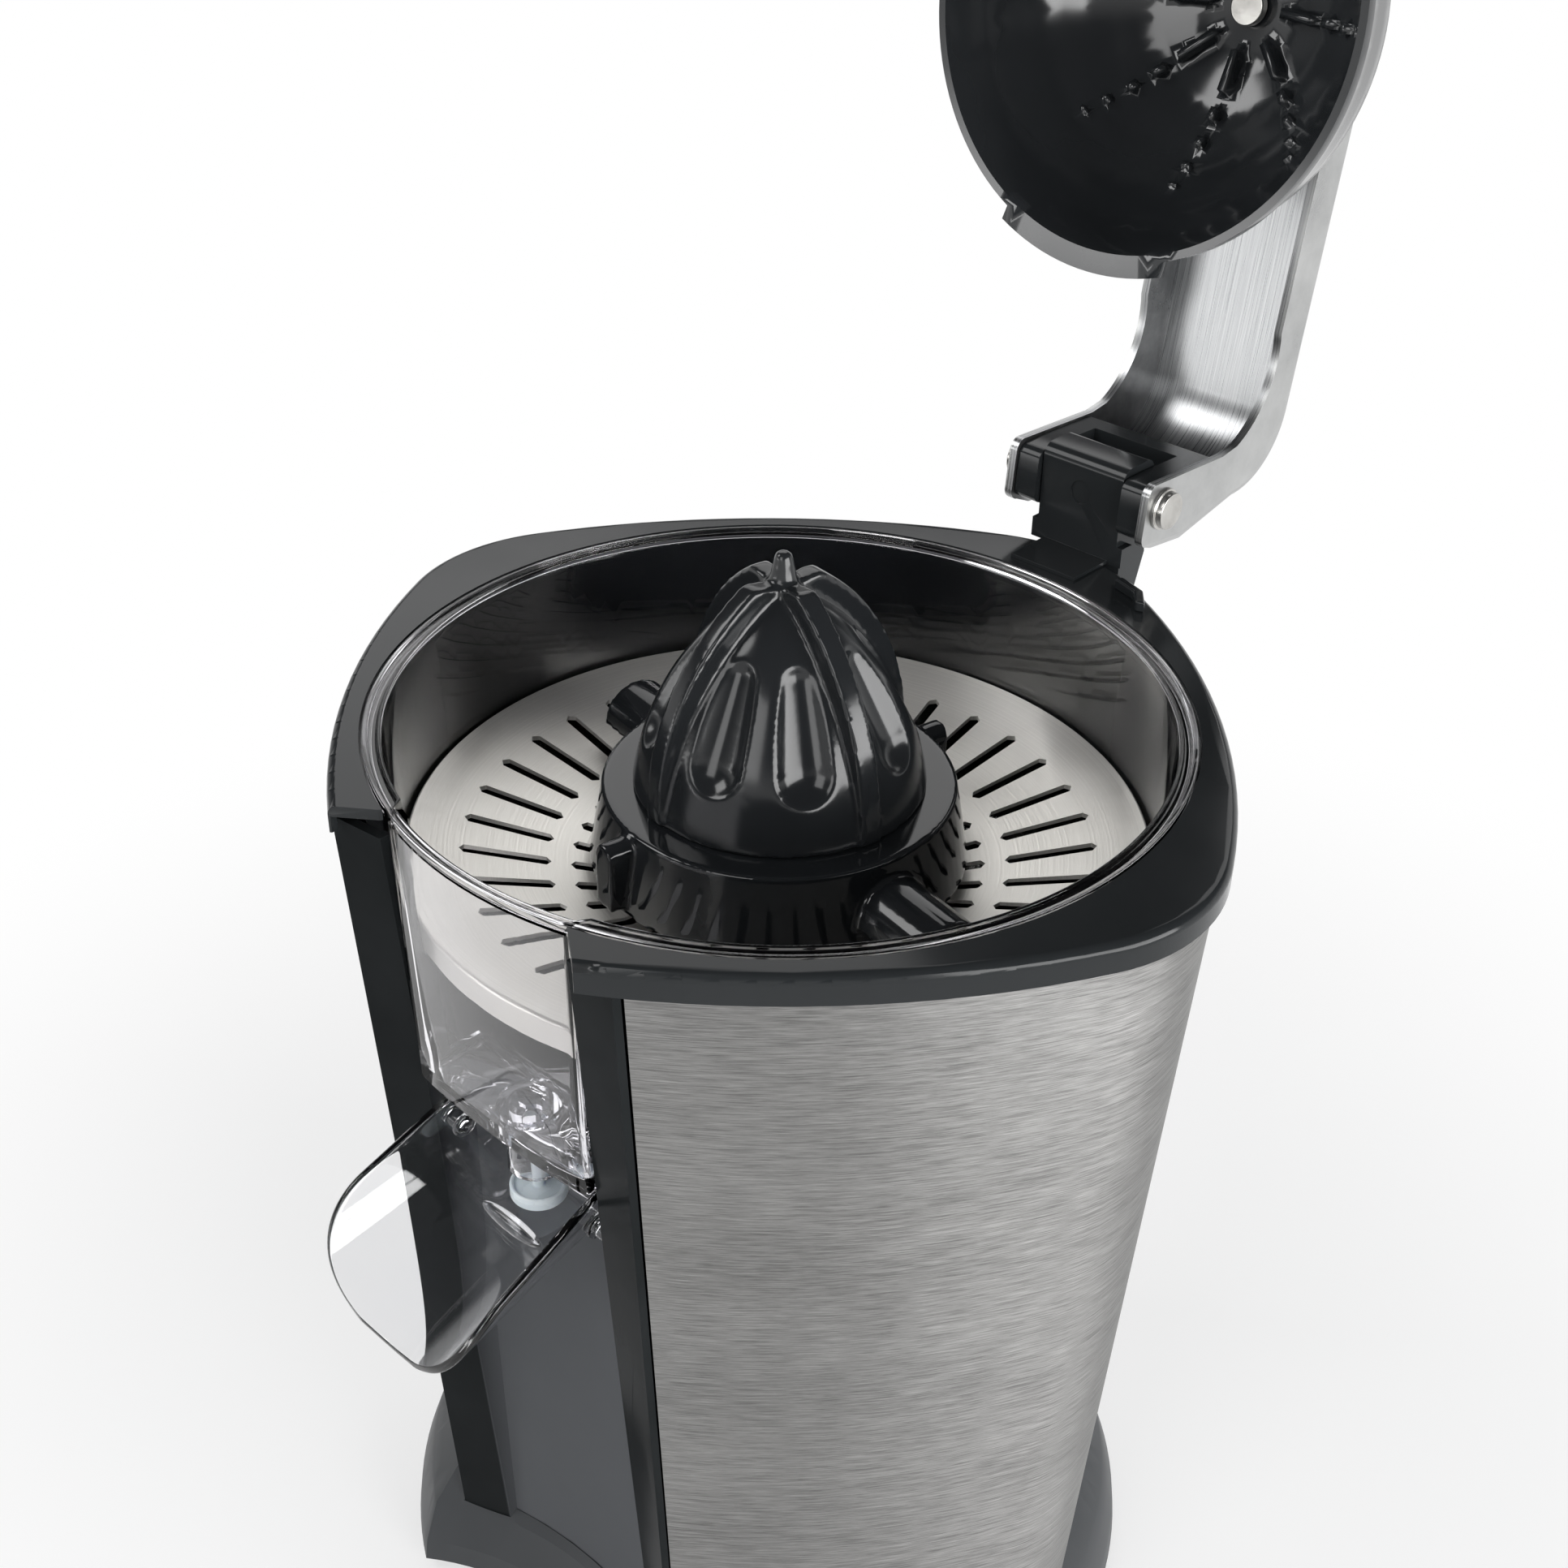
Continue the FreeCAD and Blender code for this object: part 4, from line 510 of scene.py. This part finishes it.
def turn_rim(work):
    """Spins the bowl's rounded rim profile round the axis, and returns the rim's vertices."""
    walls = set(work.verts)
    turned = ((RIM_WALL_R, -RIM_CUT), (RIM_WALL_R, -RIM_DROP), (RIM_R, -RIM_DROP), (RIM_R, 0),
              (GROOVE_OUT, 0), (GROOVE_OUT, -GROOVE_D), (GROOVE_IN, -GROOVE_D), (GROOVE_IN, 0),
              (RIM_IN, 0), (RIM_FOOT_IN, -RIM_CUT))
    chain = [work.verts.new(AXIS + Vector((radius * MM, 0, DECK + rise * MM))) for radius, rise in turned]
    for pair in zip(chain, chain[1:]):
        work.edges.new(pair)
    bmesh.ops.bevel(work, geom=chain[1:-1], offset=RIM_ROUND * MM, affect="VERTICES", segments=3,
                    profile=0.5, material=-1)
    profile = [edge for edge in work.edges if not edge.link_faces]
    ends = list({vert for edge in profile for vert in edge.verts})
    bmesh.ops.spin(work, geom=profile + ends, cent=AXIS, axis=(0, 0, 1), dvec=(0, 0, 0),
                   angle=radians(360.0), steps=RIM_STEPS, use_merge=True)
    return [vert for vert in work.verts if vert not in walls]


def clear_bowl():
    """The bowl: walls from the frame with eased window corners, under a turned rim, thin at the window."""
    work = merged_copy("juice_bowl", FLAT)
    bmesh.ops.bisect_plane(work, geom=work.verts[:] + work.edges[:] + work.faces[:], clear_outer=True,
                           plane_co=(0, 0, DECK - RIM_CUT * MM), plane_no=(0, 0, 1))
    corners = [edge for edge in work.edges if window_corner(edge)]
    bmesh.ops.bevel(work, geom=corners, offset=WINDOW_ROUND * MM, affect="EDGES", segments=3,
                    profile=0.5, material=-1)
    rim = turn_rim(work)
    for vert in rim:
        arm = vert.co - AXIS
        if arm.y < 0 and abs(arm.x) < WINDOW_HALF * MM:
            radius = arm.xy.length
            squeezed = RIM_R * MM - (RIM_R * MM - radius) * WINDOW_RIM / (RIM_R - RIM_FOOT_IN)
            vert.co.x, vert.co.y = AXIS.xy + arm.xy * (squeezed / radius)
    bmesh.ops.recalc_face_normals(work, faces=list({face for vert in rim for face in vert.link_faces}))
    piece = stand_in("juice_bowl", work)
    piece.data.set_sharp_from_angle(angle=radians(CLEAR_CREASE))


def spout_place(across, ahead, rise):
    """Place of a point of the spout, from its hinge: across, ahead along the trough and up from it, in mm."""
    turn = radians(SPOUT_TILT)
    return AXIS + Vector((across * MM, -(SPOUT_HINGE_Y + ahead * cos(turn) + rise * sin(turn)) * MM,
                          DECK + (SPOUT_HINGE_Z - ahead * sin(turn) + rise * cos(turn)) * MM))


def spout_section(along):
    """A section of the spout: how far ahead it is, its radius, its centre's height, and its half angle."""
    lead = SPOUT_RUN + SPOUT_BACK
    swing = radians(SPOUT_FALL_TURN * max(along - 0.5, 0.0) * 2)
    ahead = -SPOUT_BACK + lead * min(along * 2, 1.0) + SPOUT_FALL * sin(swing)
    rim = SPOUT_RISE - SPOUT_FALL * (1 - cos(swing))
    share = (ahead + SPOUT_BACK) / (SPOUT_TIP + SPOUT_BACK)
    wide = SPOUT_BACK_W + (SPOUT_TIP_W - SPOUT_BACK_W) * share
    deep = SPOUT_BACK_D + (SPOUT_TIP_D - SPOUT_BACK_D) * share
    radius = (wide * wide + deep * deep) / (deep * 2)
    centre = SPOUT_RISE - deep + radius
    return ahead, radius, centre, acos(min((centre - rim) / radius, 1.0))


def spout_trough():
    """The spout's shell: round sections that widen and flatten, under a rim that falls in an arc."""
    work = bmesh.new()
    bmesh.ops.create_grid(work, x_segments=SPOUT_STEPS_ACROSS, y_segments=SPOUT_STEPS_ALONG, size=1.0)
    for vert in work.verts:
        ahead, radius, centre, half = spout_section((vert.co.y + 1) / 2)
        swept = half * vert.co.x
        vert.co = spout_place(radius * sin(swept), ahead, centre - radius * cos(swept))
    bmesh.ops.recalc_face_normals(work, faces=work.faces)
    piece = stand_in("spout_scoop", work)
    wall = piece.modifiers.new("wall", "SOLIDIFY")
    wall.thickness = SPOUT_WALL * MM
    wall.offset = SPOUT_WALL_SIDE
    round_rim = piece.modifiers.new("rim", "SUBSURF")
    round_rim.levels = round_rim.render_levels = 1


def spout_fitting(name, work):
    """A small clear piece that moves with the spout."""
    piece = new_object(name, work)
    piece.data.shade_smooth()
    piece.data.set_sharp_from_angle(angle=radians(CLEAR_CREASE))
    piece.data.materials.append(SPOUT_CLEAR)
    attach(piece, "spout")


def spout_studs():
    """The pivots at the two sides of the spout, each a short collar on a longer stud."""
    work = bmesh.new()
    upright = Matrix.Rotation(radians(90.0), 4, "Y")
    for hand in (1, -1):
        for radius, first, last in ((COLLAR_R, COLLAR_IN, COLLAR_OUT), (STUD_R, STUD_IN, STUD_OUT)):
            place = Matrix.Translation(spout_place((first + last) / 2 * hand, 0, 0))
            bmesh.ops.create_cone(work, cap_ends=True, segments=STUD_STEPS, radius1=radius * MM,
                                  radius2=radius * MM, depth=(last - first) * MM, matrix=place @ upright)
    ends = [edge for edge in work.edges
            if len(edge.link_faces) == 2 and edge.calc_face_angle() > STUD_CREASE]
    bmesh.ops.bevel(work, geom=ends, offset=STUD_ROUND * MM, affect="EDGES", segments=2, profile=0.5,
                    material=-1)
    spout_fitting("spout_studs", work)


def spout_weir():
    """A low rounded bar across the bottom of the trough."""
    work = bmesh.new()
    turn = Matrix.Rotation(radians(SPOUT_TILT), 4, "X")
    stretch = Matrix.Diagonal((*WEIR_HALF, 1.0))
    place = Matrix.Translation(spout_place(0.0, WEIR_AHEAD, WEIR_RISE))
    bmesh.ops.create_uvsphere(work, u_segments=WEIR_STEPS, v_segments=WEIR_STEPS // 2, radius=MM,
                              matrix=place @ turn @ stretch)
    spout_fitting("spout_weir", work)


def floor_white():
    """White paper near the part, which keeps a soft shadow, and plain white to the eye further out."""
    material = bpy.data.materials.new("floor_white")
    material.use_nodes = True
    tree = material.node_tree
    tree.nodes.clear()
    out = tree.nodes.new("ShaderNodeOutputMaterial")
    paper = tree.nodes.new("ShaderNodeBsdfDiffuse")
    paper.inputs["Color"].default_value = FLOOR_TONE
    glow = tree.nodes.new("ShaderNodeEmission")
    mixed = tree.nodes.new("ShaderNodeMixShader")
    path = tree.nodes.new("ShaderNodeLightPath")
    looked_at = path.outputs["Is Camera Ray"]
    for ray in ("Is Glossy Ray", "Is Transmission Ray"):
        either = tree.nodes.new("ShaderNodeMath")
        either.operation = "MAXIMUM"
        tree.links.new(looked_at, either.inputs[0])
        tree.links.new(path.outputs[ray], either.inputs[1])
        looked_at = either.outputs["Value"]
    spot = tree.nodes.new("ShaderNodeTexCoord")
    length = tree.nodes.new("ShaderNodeVectorMath")
    length.operation = "LENGTH"
    tree.links.new(spot.outputs["Object"], length.inputs[0])
    ranged = tree.nodes.new("ShaderNodeMapRange")
    ranged.interpolation_type = "SMOOTHSTEP"
    ranged.inputs["From Min"].default_value = SHADOW_NEAR
    ranged.inputs["From Max"].default_value = SHADOW_FAR
    ranged.inputs["To Min"].default_value = SHADOW_SHARE
    ranged.inputs["To Max"].default_value = 1.0
    tree.links.new(length.outputs["Value"], ranged.inputs["Value"])
    share = tree.nodes.new("ShaderNodeMath")
    share.operation = "MULTIPLY"
    tree.links.new(looked_at, share.inputs[0])
    tree.links.new(ranged.outputs["Result"], share.inputs[1])
    tree.links.new(share.outputs["Value"], mixed.inputs["Fac"])
    tree.links.new(paper.outputs["BSDF"], mixed.inputs[1])
    tree.links.new(glow.outputs["Emission"], mixed.inputs[2])
    tree.links.new(mixed.outputs["Shader"], out.inputs["Surface"])
    return material


def lay_floor():
    work = bmesh.new()
    bmesh.ops.create_grid(work, x_segments=1, y_segments=1, size=FLOOR_HALF)
    floor = new_object("floor", work)
    floor.data.materials.append(floor_white())


def light_world():
    """A studio that is white up to above the horizon and dark overhead."""
    world = bpy.data.worlds.new("studio")
    bpy.context.scene.world = world
    world.use_nodes = True
    tree = world.node_tree
    tree.nodes.clear()
    out = tree.nodes.new("ShaderNodeOutputWorld")
    room = tree.nodes.new("ShaderNodeBackground")
    coordinates = tree.nodes.new("ShaderNodeTexCoord")
    split = tree.nodes.new("ShaderNodeSeparateXYZ")
    ramp = tree.nodes.new("ShaderNodeValToRGB")
    ramp.color_ramp.elements[0].position = HORIZON
    ramp.color_ramp.elements[0].color = HORIZON_TONE
    ramp.color_ramp.elements[1].position = OVERHEAD
    ramp.color_ramp.elements[1].color = OVERHEAD_TONE
    tree.links.new(coordinates.outputs["Generated"], split.inputs["Vector"])
    tree.links.new(split.outputs["Z"], ramp.inputs["Fac"])
    tree.links.new(ramp.outputs["Color"], room.inputs["Color"])
    tree.links.new(room.outputs["Background"], out.inputs["Surface"])


def hang_lamp(name, azimuth, elevation, distance, size, power):
    """A soft box that points at the bowl, its azimuth counted from the spout side towards +X."""
    lamp = bpy.data.lights.new(name, "AREA")
    lamp.shape = "RECTANGLE"
    lamp.size, lamp.size_y = size
    lamp.energy = power
    made = bpy.data.objects.new(name, lamp)
    bpy.context.scene.collection.objects.link(made)
    turn, lift = radians(azimuth), radians(elevation)
    away = Vector((sin(turn) * cos(lift), -cos(turn) * cos(lift), sin(lift)))
    aim = AXIS + Vector((0, 0, DECK))
    made.location = aim + away * distance
    made.rotation_euler = away.to_track_quat("Z", "Y").to_euler()


def place_camera():
    """The camera that sees the part as the photograph does."""
    back = Vector((sin(AZIMUTH) * cos(ELEVATION), -cos(AZIMUTH) * cos(ELEVATION), sin(ELEVATION)))
    right = Vector((cos(AZIMUTH), sin(AZIMUTH), 0.0))
    up = back.cross(right)
    side = right * cos(ROLL) + up * sin(ROLL)
    top = up * cos(ROLL) - right * sin(ROLL)
    spot = AXIS + Vector((0, 0, DECK - AIM_DROP)) + back * DISTANCE + right * AIM_SIDE
    data = bpy.data.cameras.new("camera")
    data.lens = LENS
    data.sensor_width = SENSOR
    data.clip_start = CLIP
    camera = bpy.data.objects.new("camera", data)
    bpy.context.scene.collection.objects.link(camera)
    turn = Matrix((side, top, back)).transposed().to_4x4()
    camera.matrix_world = Matrix.Translation(spot) @ turn
    bpy.context.scene.camera = camera


clear_bowl()
spout_trough()
spout_studs()
spout_weir()
lay_floor()
light_world()
hang_lamp("key_left", azimuth=-48.0, elevation=42.0, distance=1.0, size=(0.45, 0.45), power=3.7)
hang_lamp("strip_left", azimuth=-32.0, elevation=2.0, distance=1.0, size=(0.50, 0.10), power=0.7)
hang_lamp("sheet_front", azimuth=14.0, elevation=26.0, distance=0.9, size=(0.36, 0.50), power=2.1)
hang_lamp("sheet_right", azimuth=92.0, elevation=8.0, distance=1.0, size=(1.00, 0.50), power=13.0)
hang_lamp("sheet_back", azimuth=214.0, elevation=36.0, distance=1.1, size=(1.40, 0.50), power=3.6)
place_camera()
bpy.context.scene.view_settings.view_transform = "Standard"
